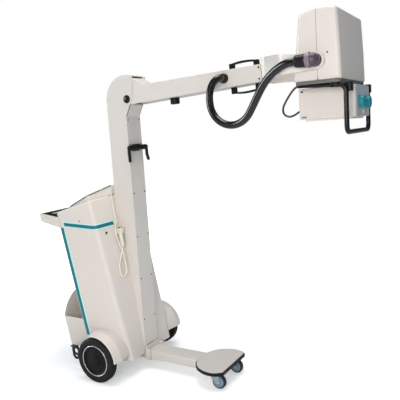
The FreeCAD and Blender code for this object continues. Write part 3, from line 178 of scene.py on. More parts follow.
EXPOSURE_ROUTE = [
    (0.024, -0.092, 1.008), (0.033, -0.095, 0.940), (0.045, -0.094, 0.853), (0.047, -0.113, 0.800),
    (0.057, -0.106, 0.750), (0.071, -0.098, 0.700), (0.081, -0.092, 0.655), (0.084, -0.089, 0.612),
    (0.087, -0.089, 0.574), (0.087, -0.101, 0.551), (0.083, -0.124, 0.550), (0.078, -0.136, 0.574),
    (0.073, -0.131, 0.610), (0.068, -0.115, 0.643), (0.067, -0.101, 0.668), (0.070, -0.091, 0.690),
    (0.072, -0.087, 0.712)]

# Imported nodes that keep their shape: the rounding of their hard edges, in metres

COVER_EDGES = {"cabinet_cover": 0.0015, "fender_left": 0.002, "fender_right": 0.002,
               "console_housing": 0.002, "rear_shelf": 0.002, "cassette_bin": 0.0008}
COLUMN_EDGES = {"column_body": 0.0012, "column_front_panel": 0.0008, "arm_pivot_shaft": 0.0008}
ARM_EDGES = {"arm_beam": 0.0014, "arm_grips": 0.0018, "arm_buffer": 0.0015}
HEAD_EDGES = {"fork_yoke": 0.0018, "head_rear_cover": 0.0012, "head_front_cover": 0.0012,
              "head_base_plate": 0.0015, "tube_tank": 0.0}
COLLIMATOR_EDGES = {"collimator_ring": 0.0012, "collimator_body": 0.001, "collimator_panel": 0.0008,
                    "collimator_window": 0.0, "field_knob_right": 0.0005, "field_knob_left": 0.0005}
BUTTON_EDGES = {"lamp_button": 0.0012}
FOOT_EDGES = {"foot_beam": 0.0012, "foot_plate": 0.002, "foot_bumper": 0.0015,
              "caster_fork_left": 0.0008, "caster_fork_right": 0.0008}
INNER_EDGES = {"rear_axle": 0.0008, "chassis_frame": 0.001, "generator_tank": 0.003,
               "balance_cartridge": 0.0, "shelf_mat": 0.0008, "brake_pedal": 0.0012,
               "console_fascia": 0.0006, "display_window": 0.0005, "stop_button": 0.0005}
SWITCH_EDGES = {"hand_switch": 0.0012, "switch_holder": 0.0008, "exposure_button": 0.0003}
PACKED_SHARP = 28.0
PACKED_FLAT = 0.4
PACKED_REACH = 2e-5
SURFACE_REACH = 2e-6

DUST = (168, 158, 146)
BLOOM = (58, 52, 50)

# Moulded finishes: screen colour, roughness, grains to the metre, relief, wear, and the shine if not 0.4

MOULDED = {
    "stripe_pale": ((192, 240, 240), 0.36, 500.0, 0.06, 0.03),
    # painted shade: dark finish of the strips laid in the seams, standing for the shade inside the gaps
    # between covers and panels
    "seam_shade": ((126, 120, 116), 0.6, 500.0, 0.06, 0.05, 0.1),
    "trim_grey": ((118, 118, 112), 0.5, 900.0, 0.2, 0.08),
    "fascia_grey": ((196, 198, 196), 0.5, 1500.0, 0.2, 0.04),
    "panel_grey": ((176, 184, 190), 0.45, 1500.0, 0.2, 0.05),
    "frame_grey": ((126, 128, 130), 0.5, 700.0, 0.2, 0.08),
    "base_grey": ((104, 104, 99), 0.48, 600.0, 0.25, 0.07),
    "elbow_grey": ((82, 70, 80), 0.34, 1000.0, 0.25, 0.07),
    "band_lilac": ((128, 116, 122), 0.38, 1000.0, 0.15, 0.06),
    "cuff_dark": ((34, 24, 32), 0.34, 1000.0, 0.3, 0.12, 0.3),
    "plastic_black": ((18, 16, 19), 0.38, 1200.0, 0.3, 0.15, 0.22),
    "metal_black": ((16, 13, 15), 0.3, 800.0, 0.12, 0.12, 0.35),
    "wheel_black": ((22, 14, 16), 0.5, 900.0, 0.35, 0.18, 0.14),
    "caster_blue": ((138, 158, 168), 0.3, 900.0, 0.15, 0.10, 0.5),
    "stop_red": ((190, 36, 28), 0.25, 900.0, 0.06, 0.05, 0.5),
    "key_pale": ((214, 216, 212), 0.5, 1500.0, 0.15, 0.03),
    "key_blue": ((70, 110, 140), 0.5, 1500.0, 0.15, 0.03),
    "key_green": ((80, 140, 96), 0.5, 1500.0, 0.15, 0.03),
    "lamp_rose": ((206, 140, 148), 0.35, 900.0, 0.1, 0.05),
    "lamp_pale": ((204, 202, 206), 0.35, 900.0, 0.1, 0.05),
}

finishes = {}


def srgb(red, green, blue):
    """Linear colour of a screen colour given from 0 to 255:
    c / 12.92 below 0.04, ((c + 0.055) / 1.055) ^ 2.4 above."""
    made = []
    for part in (red, green, blue):
        c = part / 255.0
        made.append(c / 12.92 if c <= 0.04045 else ((c + 0.055) / 1.055) ** 2.4)
    return tuple(made)


class XrayFinishes(bpy.types.PropertyGroup):
    """Colours of the unit's finishes"""
    cover: FloatVectorProperty(
        name="Covers", description="Cream of the moulded cabinet covers", subtype="COLOR",
        size=3, min=0.0, max=1.0, default=srgb(222, 212, 204))
    sheet: FloatVectorProperty(
        name="Painted Sheet", description="Cream of the painted column, arm and foot", subtype="COLOR",
        size=3, min=0.0, max=1.0, default=srgb(217, 209, 202))
    cast: FloatVectorProperty(
        name="Castings", description="Cream of the fork and the head", subtype="COLOR",
        size=3, min=0.0, max=1.0, default=srgb(235, 226, 220))
    stripe: FloatVectorProperty(
        name="Stripes", description="Teal of the cabinet's stripes", subtype="COLOR",
        size=3, min=0.0, max=1.0, default=srgb(24, 116, 122))
    knob: FloatVectorProperty(
        name="Field Knobs", description="Teal of the collimator's knobs", subtype="COLOR",
        size=3, min=0.0, max=1.0, default=srgb(6, 142, 154))
    cord: FloatVectorProperty(
        name="Exposure Cord", description="Cream of the exposure cord and its switch", subtype="COLOR",
        size=3, min=0.0, max=1.0, default=srgb(230, 223, 206))


class XraySizes(bpy.types.PropertyGroup):
    """Sizes of the unit's cords and small parts"""
    hose_diameter: FloatProperty(
        name="Hose Diameter", description="Outer diameter of the cable hose", unit="LENGTH",
        min=0.02, max=0.036, default=0.034)
    lead_diameter: FloatProperty(
        name="Lead Diameter", description="Diameter of the collimator's lead", unit="LENGTH",
        min=0.005, max=0.01, default=0.009)
    cord_diameter: FloatProperty(
        name="Cord Diameter", description="Diameter of the exposure cord", unit="LENGTH",
        min=0.005, max=0.009, default=0.009)
    screw_radius: FloatProperty(
        name="Screw Radius", description="Radius of the column's panel screws", unit="LENGTH",
        min=0.002, max=0.005, default=0.0046)
    key_rows: IntProperty(
        name="Key Rows", description="Rows of keys on the console", min=1, max=4, default=3)
    soft_edges: FloatProperty(
        name="Soft Edges", description="How much of each hard edge's rounding is made", min=0.0, max=1.5,
        default=1.0)


# Finishes

def feed(node, inputs):
    """Sets a node's inputs, each to a value or to the output that feeds it."""
    for key, value in inputs.items():
        if isinstance(value, bpy.types.NodeSocket):
            node.id_data.links.new(value, node.inputs[key])
        else:
            node.inputs[key].default_value = value


def add_node(tree, kind, inputs=None, **settings):
    """A new node with its settings and inputs."""
    made = tree.nodes.new(kind)
    for key, value in settings.items():
        setattr(made, key, value)
    feed(made, inputs or {})
    return made


def new_finish(name):
    """An empty finish: its shader, and object coordinates to draw its patterns on."""
    made = bpy.data.materials.new(name)
    made.use_nodes = True
    finishes[name] = made
    place = add_node(made.node_tree, "ShaderNodeTexCoord").outputs["Object"]
    return made.node_tree.nodes["Principled BSDF"], place


def noise(place, scale, detail=3.0, roughness=0.55):
    """Cloudy pattern with so many grains to the metre."""
    return add_node(place.id_data, "ShaderNodeTexNoise",
                    {"Vector": place, "Scale": scale, "Detail": detail,
                     "Roughness": roughness}).outputs["Fac"]


def spread(value, low, high, out_low, out_high):
    """Carries a value's range over to another range."""
    return add_node(value.id_data, "ShaderNodeMapRange",
                    {"Value": value, "From Min": low, "From Max": high,
                     "To Min": out_low, "To Max": out_high}).outputs["Result"]


def mixed(share, first, second):
    """Mix of two colours, each a colour or an output, by a share."""
    first, second = (colour if isinstance(colour, bpy.types.NodeSocket) else (*colour, 1.0)
                     for colour in (first, second))
    return add_node(share.id_data, "ShaderNodeMix", {0: share, 6: first, 7: second},
                    data_type="RGBA").outputs[2]


def shade(colour, factor):
    """The colour made darker or lighter."""
    return tuple(min(1.0, c * factor) for c in colour)


def relief(height, strength, distance):
    """Small surface relief from a height."""
    return add_node(height.id_data, "ShaderNodeBump",
                    {"Height": height, "Strength": strength, "Distance": distance}).outputs["Normal"]


def painted_cream(name, colour, grain, rough, dust_height=0.0):
    """Cream paint or gel coat: faint clouds of tone, a fine orange peel, and dust low down."""
    shader, place = new_finish(name)
    cloud = spread(noise(place, 3.5, 4.0), 0.3, 0.7, 0.0, 1.0)
    tone = mixed(cloud, shade(colour, 0.975), shade(colour, 1.012))
    speck = spread(noise(place, 260.0, 2.0), 0.62, 0.8, 0.0, 0.18)
    tone = mixed(speck, tone, shade(colour, 0.86))
    if dust_height > 0:
        height = add_node(place.id_data, "ShaderNodeSeparateXYZ", {"Vector": place}).outputs["Z"]
        tone = mixed(spread(height, 0.0, dust_height, 0.30, 0.0), tone, srgb(*DUST))
    gloss = spread(noise(place, 18.0), 0.3, 0.7, rough - 0.04, rough + 0.05)
    feed(shader, {"Base Color": tone, "Roughness": gloss, "Specular IOR Level": 0.42, "Coat Weight": 0.12,
                  "Coat Roughness": 0.22, "Normal": relief(noise(place, grain, 2.0, 0.5), 0.16, 0.0003)})


def moulded(name, colour, rough, grain, strength, wear, shine=0.4):
    """Moulded plastic with a fine leather-like grain and slightly worn patches."""
    shader, place = new_finish(name)
    worn = spread(noise(place, 26.0, 4.0), 0.35, 0.75, 0.0, 1.0)
    tone = mixed(worn, shade(colour, 1.0 - wear), shade(colour, 1.0 + wear))
    gloss = spread(noise(place, 60.0), 0.3, 0.7, rough - 0.06, rough + 0.06)
    feed(shader, {"Base Color": tone, "Roughness": gloss, "Specular IOR Level": shine,
                  "Normal": relief(noise(place, grain, 2.0, 0.6), strength, 0.0002)})


def rubber(name, colour, rough, bloom, shine):
    """Rubber with a dull bloom in patches and a fine moulded skin."""
    shader, place = new_finish(name)
    dull = spread(noise(place, 14.0, 5.0, 0.65), 0.42, 0.78, 0.0, bloom)
    gloss = spread(noise(place, 90.0), 0.3, 0.7, rough - 0.08, rough + 0.08)
    feed(shader, {"Base Color": mixed(dull, colour, srgb(*BLOOM)), "Roughness": gloss,
                  "Specular IOR Level": shine, "Normal": relief(noise(place, 900.0, 3.0, 0.6), 0.3, 0.0003)})


def metal(name, colour, rough, strength=0.12):
    """Bare metal with fine turning marks."""
    shader, place = new_finish(name)
    marks = noise(place, 700.0, 2.0, 0.7)
    tone = mixed(spread(marks, 0.3, 0.7, 0.0, 1.0), shade(colour, 0.88), shade(colour, 1.06))
    gloss = spread(marks, 0.3, 0.7, rough - 0.06, rough + 0.08)
    feed(shader, {"Base Color": tone, "Roughness": gloss, "Metallic": 1.0,
                  "Normal": relief(marks, strength, 0.0001)})


def hose_skin(name, colour, rough, groove, depth, coat):
    """Vinyl skin of a cord: fine drawn lines along it, read from the piece's own map, and a few scuffs."""
    shader, place = new_finish(name)
    chart = place.node.outputs["UV"]
    drawn = add_node(place.id_data, "ShaderNodeMapping", {"Vector": chart, "Scale": (groove, 6.0, 1.0)})
    lines = noise(drawn.outputs["Vector"], 1.0, 2.0)
    scuffs = spread(noise(place, 34.0, 5.0, 0.7), 0.55, 0.8, 0.0, 0.5)
    gloss = spread(noise(place, 48.0), 0.3, 0.75, rough - 0.04, rough + 0.12)
    feed(shader, {"Base Color": mixed(scuffs, colour, shade(colour, 0.82)), "Roughness": gloss,
                  "Specular IOR Level": 0.42, "Coat Weight": coat, "Coat Roughness": 0.07,
                  "Normal": relief(lines, 0.05, depth)})


def glassy(name, colour, rough, transmission):
    """Clear or tinted window with faint smears."""
    shader, place = new_finish(name)
    smear = spread(noise(place, 22.0, 4.0), 0.3, 0.8, rough, rough + 0.12)
    tint = spread(noise(place, 9.0, 2.0), 0.3, 0.7, 0.0, 1.0)
    feed(shader, {"Base Color": mixed(tint, shade(colour, 0.93), colour), "Roughness": smear, "IOR": 1.49,
                  "Transmission Weight": transmission, "Coat Weight": 0.4, "Coat Roughness": 0.05})


# Surfaces

def put(name, mesh, body, finish, stands_for=()):
    """Puts a mesh into the scene under the piece's name, on its body, with its finish."""
    mesh.name = name
    piece = bpy.data.objects.new(name, mesh)
    bpy.context.scene.collection.objects.link(piece)
    mesh.materials.clear()
    mesh.materials.append(finishes[finish])
    if body is not None:
        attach(piece, body)
    if stands_for:
        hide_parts(*stands_for)
    return piece


def smooth_but_sharp(mesh, sharp_angle):
    """Shades a mesh smooth, apart from the edges over an angle in degrees."""
    mesh.polygons.foreach_set("use_smooth", np.ones(len(mesh.polygons), bool))
    mesh.set_sharp_from_angle(angle=math.radians(sharp_angle))


def surface(points, faces, sharp_angle=50.0):
    """Mesh from rows of points and faces, its doubles merged and its faces turned outwards."""
    mesh = bpy.data.meshes.new("surface")
    mesh.from_pydata(np.asarray(points, float).reshape(-1, 3).tolist(), [], faces)
    work = bmesh.new()
    work.from_mesh(mesh)
    bmesh.ops.remove_doubles(work, verts=work.verts, dist=SURFACE_REACH)
    bmesh.ops.recalc_face_normals(work, faces=work.faces)
    work.to_mesh(mesh)
    work.free()
    smooth_but_sharp(mesh, sharp_angle)
    mesh.update()
    return mesh


def points_of(mesh):
    """The mesh's points as rows of x, y and z."""
    points = np.zeros(len(mesh.vertices) * 3)
    mesh.vertices.foreach_get("co", points)
    return points.reshape(-1, 3)


def lengths_along(path):
    """Length run from the start of a path to each of its points."""
    return np.concatenate([[0.0], np.cumsum(np.linalg.norm(np.diff(path, axis=0), axis=1))])


def grid_faces(rows, columns, wrap_rows, wrap_columns):
    """Four-sided faces of a grid: each joins (i, j), (i+1, j), (i+1, j+1) and (i, j+1)."""
    i = np.arange(rows if wrap_rows else rows - 1)
    j = np.arange(columns if wrap_columns else columns - 1)
    i, j = np.meshgrid(i, j, indexing="ij")
    i2, j2 = (i + 1) % rows, (j + 1) % columns
    quads = np.stack([i * columns + j, i2 * columns + j, i2 * columns + j2, i * columns + j2], -1)
    return quads.reshape(-1, 4).tolist()


def capped_faces(rings, count):
    """Faces through rings of points, with a cap over the first and the last."""
    last = (rings - 1) * count
    caps = [list(range(count - 1, -1, -1)), list(range(last, last + count))]
    return grid_faces(rings, count, False, True) + caps


def repeated(points, faces, places, sharp_angle):
    """One shape set down at each place."""
    points = points.reshape(-1, 3)
    places = np.atleast_2d(np.asarray(places, float))
    faces = [[i + k * len(points) for i in face] for k in range(len(places)) for face in faces]
    return surface(places[:, None] + points[None], faces, sharp_angle)


def spun(profile, places, axis, count=96, sharp_angle=35.0):
    """Closed outline of (along, radius) turned about an axis at each place:
    p = place + a * along + radius * (u cos t + v sin t), with u and v at right angles to a."""
    profile = np.asarray(profile, float)
    a = np.asarray(Vector(axis).normalized(), float)
    u = np.cross(a, (0.0, 0.0, 1.0) if abs(a[2]) < 0.9 else (1.0, 0.0, 0.0))
    u /= np.linalg.norm(u)
    t = np.linspace(0.0, 2 * math.pi, count, endpoint=False)
    around = np.cos(t)[:, None] * u + np.sin(t)[:, None] * np.cross(a, u)
    points = profile[None, :, :1] * a + profile[None, :, 1:] * around[:, None, :]
    return repeated(points, grid_faces(count, len(profile), True, True), places, sharp_angle)


def rounded(points, radii, steps=5):
    """Closed outline whose corners are arcs of the given radii."""
    made = []
    count = len(points)
    for i in range(count):
        here = np.array(points[i], float)
        back = np.array(points[i - 1], float) - here
        ahead = np.array(points[(i + 1) % count], float) - here
        radius = radii[i] if hasattr(radii, "__len__") else radii
        if radius <= 0:
            made.append(here)
            continue
        back /= np.linalg.norm(back)
        ahead /= np.linalg.norm(ahead)
        half = math.acos(np.clip(back @ ahead, -1, 1)) / 2
        middle = (back + ahead) / np.linalg.norm(back + ahead)
        centre = here + middle * radius / math.sin(half)
        start = here + back * radius / math.tan(half) - centre
        end = here + ahead * radius / math.tan(half) - centre
        turn = math.acos(np.clip(start @ end / radius ** 2, -1, 1))
        share = np.linspace(0.0, 1.0, steps + 1)[:, None]
        arc = (np.sin((1 - share) * turn) * start + np.sin(share * turn) * end) / math.sin(turn)
        made.extend(centre + arc)
    return np.array(made)


def rounded_box(half_u, half_v, radius):
    """Outline of a rectangle with round corners about the middle."""
    return rounded([(-half_u, -half_v), (half_u, -half_v), (half_u, half_v), (-half_u, half_v)], radius)


def inward_of(outline):
    """Unit normals that point into a closed flat outline."""
    ahead = np.roll(outline, -1, axis=0) - np.roll(outline, 1, axis=0)
    turned = np.sign(np.sum(np.cross(outline, np.roll(outline, -1, axis=0))))
    inward = np.stack([-ahead[:, 1], ahead[:, 0]], -1) * turned
    return inward / np.linalg.norm(inward, axis=1)[:, None]


def pads(outline, places, u, v, height, soft, sink=0.0):
    """Raised pads of one outline: its rings climb a wall of the height and turn over a round edge:
    ring k is the outline drawn in by soft * (1 - cos a) at height - soft * (1 - sin a)."""
    bend = np.linspace(0.0, math.pi / 2, 4)
    drawn = np.concatenate([[0.0], soft * (1 - np.cos(bend))])
    level = np.concatenate([[-sink], height - soft * (1 - np.sin(bend))])
    flat = outline[None] + drawn[:, None, None] * inward_of(outline)[None]
    u, v = (np.asarray(Vector(way).normalized(), float) for way in (u, v))
    points = flat[..., :1] * u + flat[..., 1:] * v + level[:, None, None] * np.cross(u, v)
    return repeated(points, capped_faces(len(level), len(outline)), places, 40.0)


def ribbon(outline, origin, u, v, half_width, proud, depth):
    """Flat band along a closed outline in the plane of u and v: its section is a box that stands proud of the
    outline and reaches a depth below it."""
    w = np.cross(u, v)
    rings = []
    for across, height in ((-half_width, -depth), (-half_width, proud), (half_width, proud),
                           (half_width, -depth)):
        flat = outline - inward_of(outline) * height
        rings.append(np.asarray(origin) + flat[:, :1] * np.array(u) + flat[:, 1:] * np.array(v) + w * across)
    return surface(np.stack(rings, 1), grid_faces(len(outline), 4, True, True))


def smooth_line(route, resolution=14):
    """Points along the smooth spline that takes the route's points as its control points."""
    curve = bpy.data.curves.new("smooth_line", "CURVE")
    curve.dimensions = "3D"
    spline = curve.splines.new("NURBS")
    spline.points.add(len(route) - 1)
    for point, place in zip(spline.points, route):
        point.co = (*place, 1.0)
    spline.order_u = 3
    spline.use_endpoint_u = True
    spline.resolution_u = resolution
    holder = bpy.data.objects.new("smooth_line", curve)
    bpy.context.scene.collection.objects.link(holder)
    bpy.context.view_layer.update()
    line = bpy.data.meshes.new_from_object(holder)
    points = points_of(line)
    bpy.data.objects.remove(holder)
    bpy.data.curves.remove(curve)
    bpy.data.meshes.remove(line)
    return points


def tube(path, radius, around):
    """Round section carried along a path, closed at both ends: p = c(s) + r(s) * (n cos t + b sin t),
    where each normal n is carried on from the last without twist. Its map runs round it and along it."""
    radius = np.broadcast_to(radius, (len(path),))
    tangent = np.gradient(path, axis=0)
    tangent /= np.linalg.norm(tangent, axis=1)[:, None]
    side = np.cross(tangent[0], (0.0, 0.0, 1.0))
    if np.linalg.norm(side) < 0.1:
        side = np.cross(tangent[0], (1.0, 0.0, 0.0))
    sides = [side / np.linalg.norm(side)]
    for way in tangent[1:]:
        next_side = sides[-1] - (sides[-1] @ way) * way
        sides.append(next_side / np.linalg.norm(next_side))
    n = np.array(sides)
    b = np.cross(tangent, n)
    t = np.linspace(0, 2 * math.pi, around, endpoint=False)
    points = (path[:, None] + radius[:, None, None]
              * (np.cos(t)[None, :, None] * n[:, None] + np.sin(t)[None, :, None] * b[:, None]))
    mesh = surface(points, capped_faces(len(path), around))
    corner = np.zeros(len(mesh.loops), int)
    mesh.loops.foreach_get("vertex_index", corner)
    places = points_of(mesh)
    nearest = np.argmin(((places[:, None] - path[None]) ** 2).sum(-1), axis=1)
    reach = places - path[nearest]
    angle = np.arctan2((reach * b[nearest]).sum(-1), (reach * n[nearest]).sum(-1)) / (2 * math.pi) + 0.5
    flat = np.stack([angle[corner], lengths_along(path)[nearest][corner]], -1)
    mesh.uv_layers.new(name="along").data.foreach_set("uv", flat.ravel())
    return mesh


def round_ended(path, radius):
    """Path and radii of a bar whose two ends are half balls inside its length."""
    bend = np.linspace(0.0, math.pi / 2, 7)
    shrink = radius * np.maximum(np.sin(bend), 0.03)
    climb = radius * (1 - np.cos(bend))[:, None]
    first, last = ((b - a) / np.linalg.norm(b - a) for a, b in ((path[0], path[1]), (path[-1], path[-2])))
    clear = np.all([np.linalg.norm(path - end, axis=1) > radius * 1.2 for end in (path[0], path[-1])], axis=0)
    body = path[1:-1][clear[1:-1]]
    line = np.concatenate([path[0] + first * climb, body, path[-1] + last * climb[::-1]])
    return line, np.concatenate([shrink, np.full(len(body), radius), shrink[::-1]])


def screws(name, places, axis, body, finish="metal_black", *, radius, height, count=20, stands_for=()):
    """Round screw heads with a socket, sunk a little into what they hold."""
    profile = [(-0.2 * height, 0.0), (-0.2 * height, radius), (0.45 * height, radius),
               (0.85 * height, 0.82 * radius), (height, 0.6 * radius), (height, 0.42 * radius),
               (0.3 * height, 0.38 * radius), (0.3 * height, 0.0)]
    return put(name, spun(profile, places, axis, count), body, finish, stands_for)


def lay_cord(name, node, route, diameter, around, body, finish):
    """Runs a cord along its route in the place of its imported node."""
    path = smooth_line(route)
    cord = put(name, tube(path, diameter / 2, around), body, finish, (node,))
    return cord


def merged_copy(node):
    """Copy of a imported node's mesh with its loose triangles joined and its flat faces made whole."""
    mesh = frame["nodes"][node].data.copy()
    work = bmesh.new()
    work.from_mesh(mesh)
    bmesh.ops.remove_doubles(work, verts=work.verts, dist=PACKED_REACH)
    bmesh.ops.dissolve_limit(work, angle_limit=math.radians(PACKED_FLAT), verts=work.verts,
                             edges=work.edges)
    work.to_mesh(mesh)
    work.free()
    if "custom_normal" in mesh.attributes:
        mesh.attributes.remove(mesh.attributes["custom_normal"])
    smooth_but_sharp(mesh, PACKED_SHARP)
    return mesh


def dress(edges, finish=None):
    """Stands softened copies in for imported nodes, with their hard edges rounded."""
    for node, width in edges.items():
        held = frame["nodes"][node]
        slot = held.data.materials[0].name.split(".")[0]
        if width <= 0:
            held.data.materials[0] = finishes[finish or slot]
            continue
        piece = put(node + "_skin", merged_copy(node), held["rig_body"], finish or slot, (node,))
        bevel = piece.modifiers.new("soft_edges", "BEVEL")
        bevel.width = width * bpy.context.scene.xray_sizes.soft_edges
        bevel.segments = 2
        bevel.limit_method = "ANGLE"
        bevel.angle_limit = math.radians(PACKED_SHARP)
        bevel.use_clamp_overlap = True
        bevel.harden_normals = True


def cabinet_corner(corner, z):
    """One of the cabinet's corners at a height: bottom + shift * share of the rise."""
    share = (z - CABINET_FOOT) / CABINET_RISE
    (x, y), (shift_x, shift_y) = corner
    return x + shift_x * share, y + shift_y * share


def cabinet_run(z, grow):
    """Right side of the cabinet's outline at a height, and the lengths along it from the end of its rear
    corner: rear corner, side, ridge, slanting face."""
    (rear_x, rear_y), (ridge_x, ridge_y), (front_x, front_y) = (
        cabinet_corner(corner, z) for corner in (CABINET_REAR, CABINET_RIDGE, CABINET_FRONT))
    rear, ridge = (rear_x - grow, rear_y - grow), (ridge_x + grow, ridge_y - grow)
    outline = rounded([(rear[0], 0.0), rear, ridge, (front_x + grow, front_y), (front_x + grow, 0.0)],
                      [0.0, 0.028 + grow, 0.030 + grow, 0.020 + grow, 0.0], CORNER_STEPS)
    run = lengths_along(outline)
    return outline, run - run[SIDE_START]


def on_cabinet(length, z, grow, side):
    """A point on the cabinet at a length along its outline and a height, grown by a distance."""
    outline, run = cabinet_run(z, grow)
    return [np.interp(length, run, outline[:, 0]), -side * np.interp(length, run, outline[:, 1]), z]


def cabinet_belt(marks, half, side, low, high):
    """Thin strip laid round the cabinet along marks of (length, height), from low to high above it."""
    marks = np.array(marks)
    rings = []
    for length in np.linspace(marks[0, 0], marks[-1, 0], 64):
        z = np.interp(length, marks[:, 0], marks[:, 1])
        rings.append([on_cabinet(length, z + up * half, grow, side)
                      for up, grow in ((-1, low), (-1, high), (1, high), (1, low))])
    return surface(rings, capped_faces(len(rings), 4))


def cabinet_upright(half, side, low, high):
    """Thin upright strip laid on the cabinet's rear corner."""
    lengths = UPRIGHT_AT + np.linspace(-half, half, 7)
    rings = [[on_cabinet(length, z, low, side) for length in lengths]
             + [on_cabinet(length, z, high, side) for length in lengths[::-1]]
             for z in np.linspace(*UPRIGHT_HEIGHTS, 24)]
    return surface(rings, capped_faces(len(rings), len(rings[0])))


# Operators, one for each group of pieces

class PaintFinishes(bpy.types.Operator):
    """Makes all finishes of the unit from its colours"""
    bl_idname = "xray_unit.finishes"
    bl_label = "Finishes"

    def execute(self, context):
        colours = context.scene.xray_finishes
        painted_cream("cover_cream", colours.cover, 620.0, 0.42, 0.28)
        painted_cream("paint_cream", colours.sheet, 900.0, 0.38, 0.16)
        painted_cream("cast_cream", colours.cast, 760.0, 0.40)
        moulded("stripe_teal", colours.stripe, 0.36, 500.0, 0.06, 0.05)
        moulded("knob_teal", colours.knob, 0.28, 900.0, 0.10, 0.06, 0.5)
        moulded("switch_cream", colours.cord, 0.45, 1100.0, 0.2, 0.05)
        for name, (screen, *settings) in MOULDED.items():
            moulded(name, srgb(*screen), *settings)
        rubber("tyre_black", srgb(17, 13, 14), 0.5, 0.10, 0.22)
        rubber("rubber_black", srgb(16, 13, 14), 0.5, 0.14, 0.22)
        rubber("caster_tread", srgb(40, 40, 48), 0.5, 0.3, 0.3)
        metal("steel", (0.60, 0.60, 0.61), 0.32)
        metal("ring_bright", (0.78, 0.78, 0.80), 0.24)
        metal("block_grey", (0.44, 0.45, 0.46), 0.5, 0.3)
        glassy("display_glass", srgb(40, 50, 46), 0.06, 0.0)
        glassy("window_clear", srgb(214, 218, 212), 0.05, 0.85)
        hose_skin("hose_black", srgb(11, 8, 11), 0.22, 40.0, 0.0004, 0.3)
        hose_skin("lead_black", srgb(17, 14, 16), 0.3, 16.0, 0.0003, 0.5)
        hose_skin("cord_cream", colours.cord, 0.45, 14.0, 0.0003, 0.1)
        return {"FINISHED"}


class DressCabinet(bpy.types.Operator):
    """Dresses the cabinet's covers, fenders, shelf and bin, with their stripes and fasteners"""
    bl_idname = "xray_unit.cabinet"
    bl_label = "Cabinet"

    def execute(self, context):
        dress(COVER_EDGES)
        ridge = cabinet_run(0.85, 0.0)[1][SIDE_END]
        marks = [(BELT_START, BELT_HEIGHT), (ridge, BELT_HEIGHT - 0.015),
                 (ridge + BELT_ROUND_RIDGE, BELT_HEIGHT - 0.006)]
        shoulder_x, shoulder_z = -0.108, 0.874
        flank = cabinet_run(shoulder_z, 0.0)[0][SIDE_START:SIDE_END + 1]
        shoulder_y = float(np.interp(shoulder_x, flank[:, 0], flank[:, 1]))
        for side, name in SIDES:
            for kind, (finish, half, low, high) in STRIPES.items():
                put(f"stripe_belt_{kind}_{name}", cabinet_belt(marks, half, side, low, high), "chassis",
                    finish, ("side_stripes",))
                put(f"stripe_upright_{kind}_{name}", cabinet_upright(half * 1.2, side, low, high), "chassis",
                    finish)
            screws("shoulder_screw_" + name, (shoulder_x, -side * shoulder_y, shoulder_z), (0, side, 0),
                   "chassis", radius=0.0042, height=0.0016)

        up = Vector((CABINET_REAR[1][0], 0.0, CABINET_RISE)).normalized()
        out = Vector((-up.z, 0.0, up.x))

        def on_back(y, z, proud):
            """A point on the cabinet's slanting back, so far proud of it."""
            return Vector((cabinet_corner(CABINET_REAR, z)[0], y, z)) + out * proud
        cover = rounded_box(0.165, 0.180, 0.014)
        plate = pads(cover, on_back(0.0, 0.640, 0.0), (0, -1, 0), up, height=COVER_THICK, soft=0.001,
                     sink=0.001)
        put("service_cover", plate, "chassis", "cover_cream")
        # painted shade: thin black pads on the service cover stand for the shade inside its vent slots, which
        # are not cut open
        slot = rounded_box(0.070, 0.0019, 0.0018)
        slots = [on_back(0.0, 0.700 + 0.010 * k, COVER_THICK) for k in range(9)]
        slot_shade = pads(slot, slots, (0, -1, 0), up, height=0.0002, soft=0.0001, sink=0.0004)
        put("service_slot_shade", slot_shade, "chassis", "plastic_black")
        corners = [on_back(y, z, COVER_THICK) for y in (-0.148, 0.148) for z in (0.482, 0.798)]
        screws("service_screws", corners, out, "chassis", "steel", radius=0.0042, height=0.0018)

        lock_y, lock_z = -0.158, 0.802
        ridge, front = (Vector((*cabinet_corner(corner, lock_z), lock_z))
                        for corner in (CABINET_RIDGE, CABINET_FRONT))
        run = ridge - front
        lock_at = front + run * ((lock_y - front.y) / run.y)
        away = (-run.y, run.x, 0.0)
        screws("quarter_lock", lock_at, away, "chassis", radius=0.0058, height=0.004)
        collar = [(-0.001, 0.0062), (-0.001, 0.0092), (0.0008, 0.0092), (0.0014, 0.0086), (0.0014, 0.0066),
                  (0.0008, 0.0062)]
        put("quarter_lock_collar", spun(collar, lock_at, away, 48), "chassis", "fascia_grey")
        return {"FINISHED"}


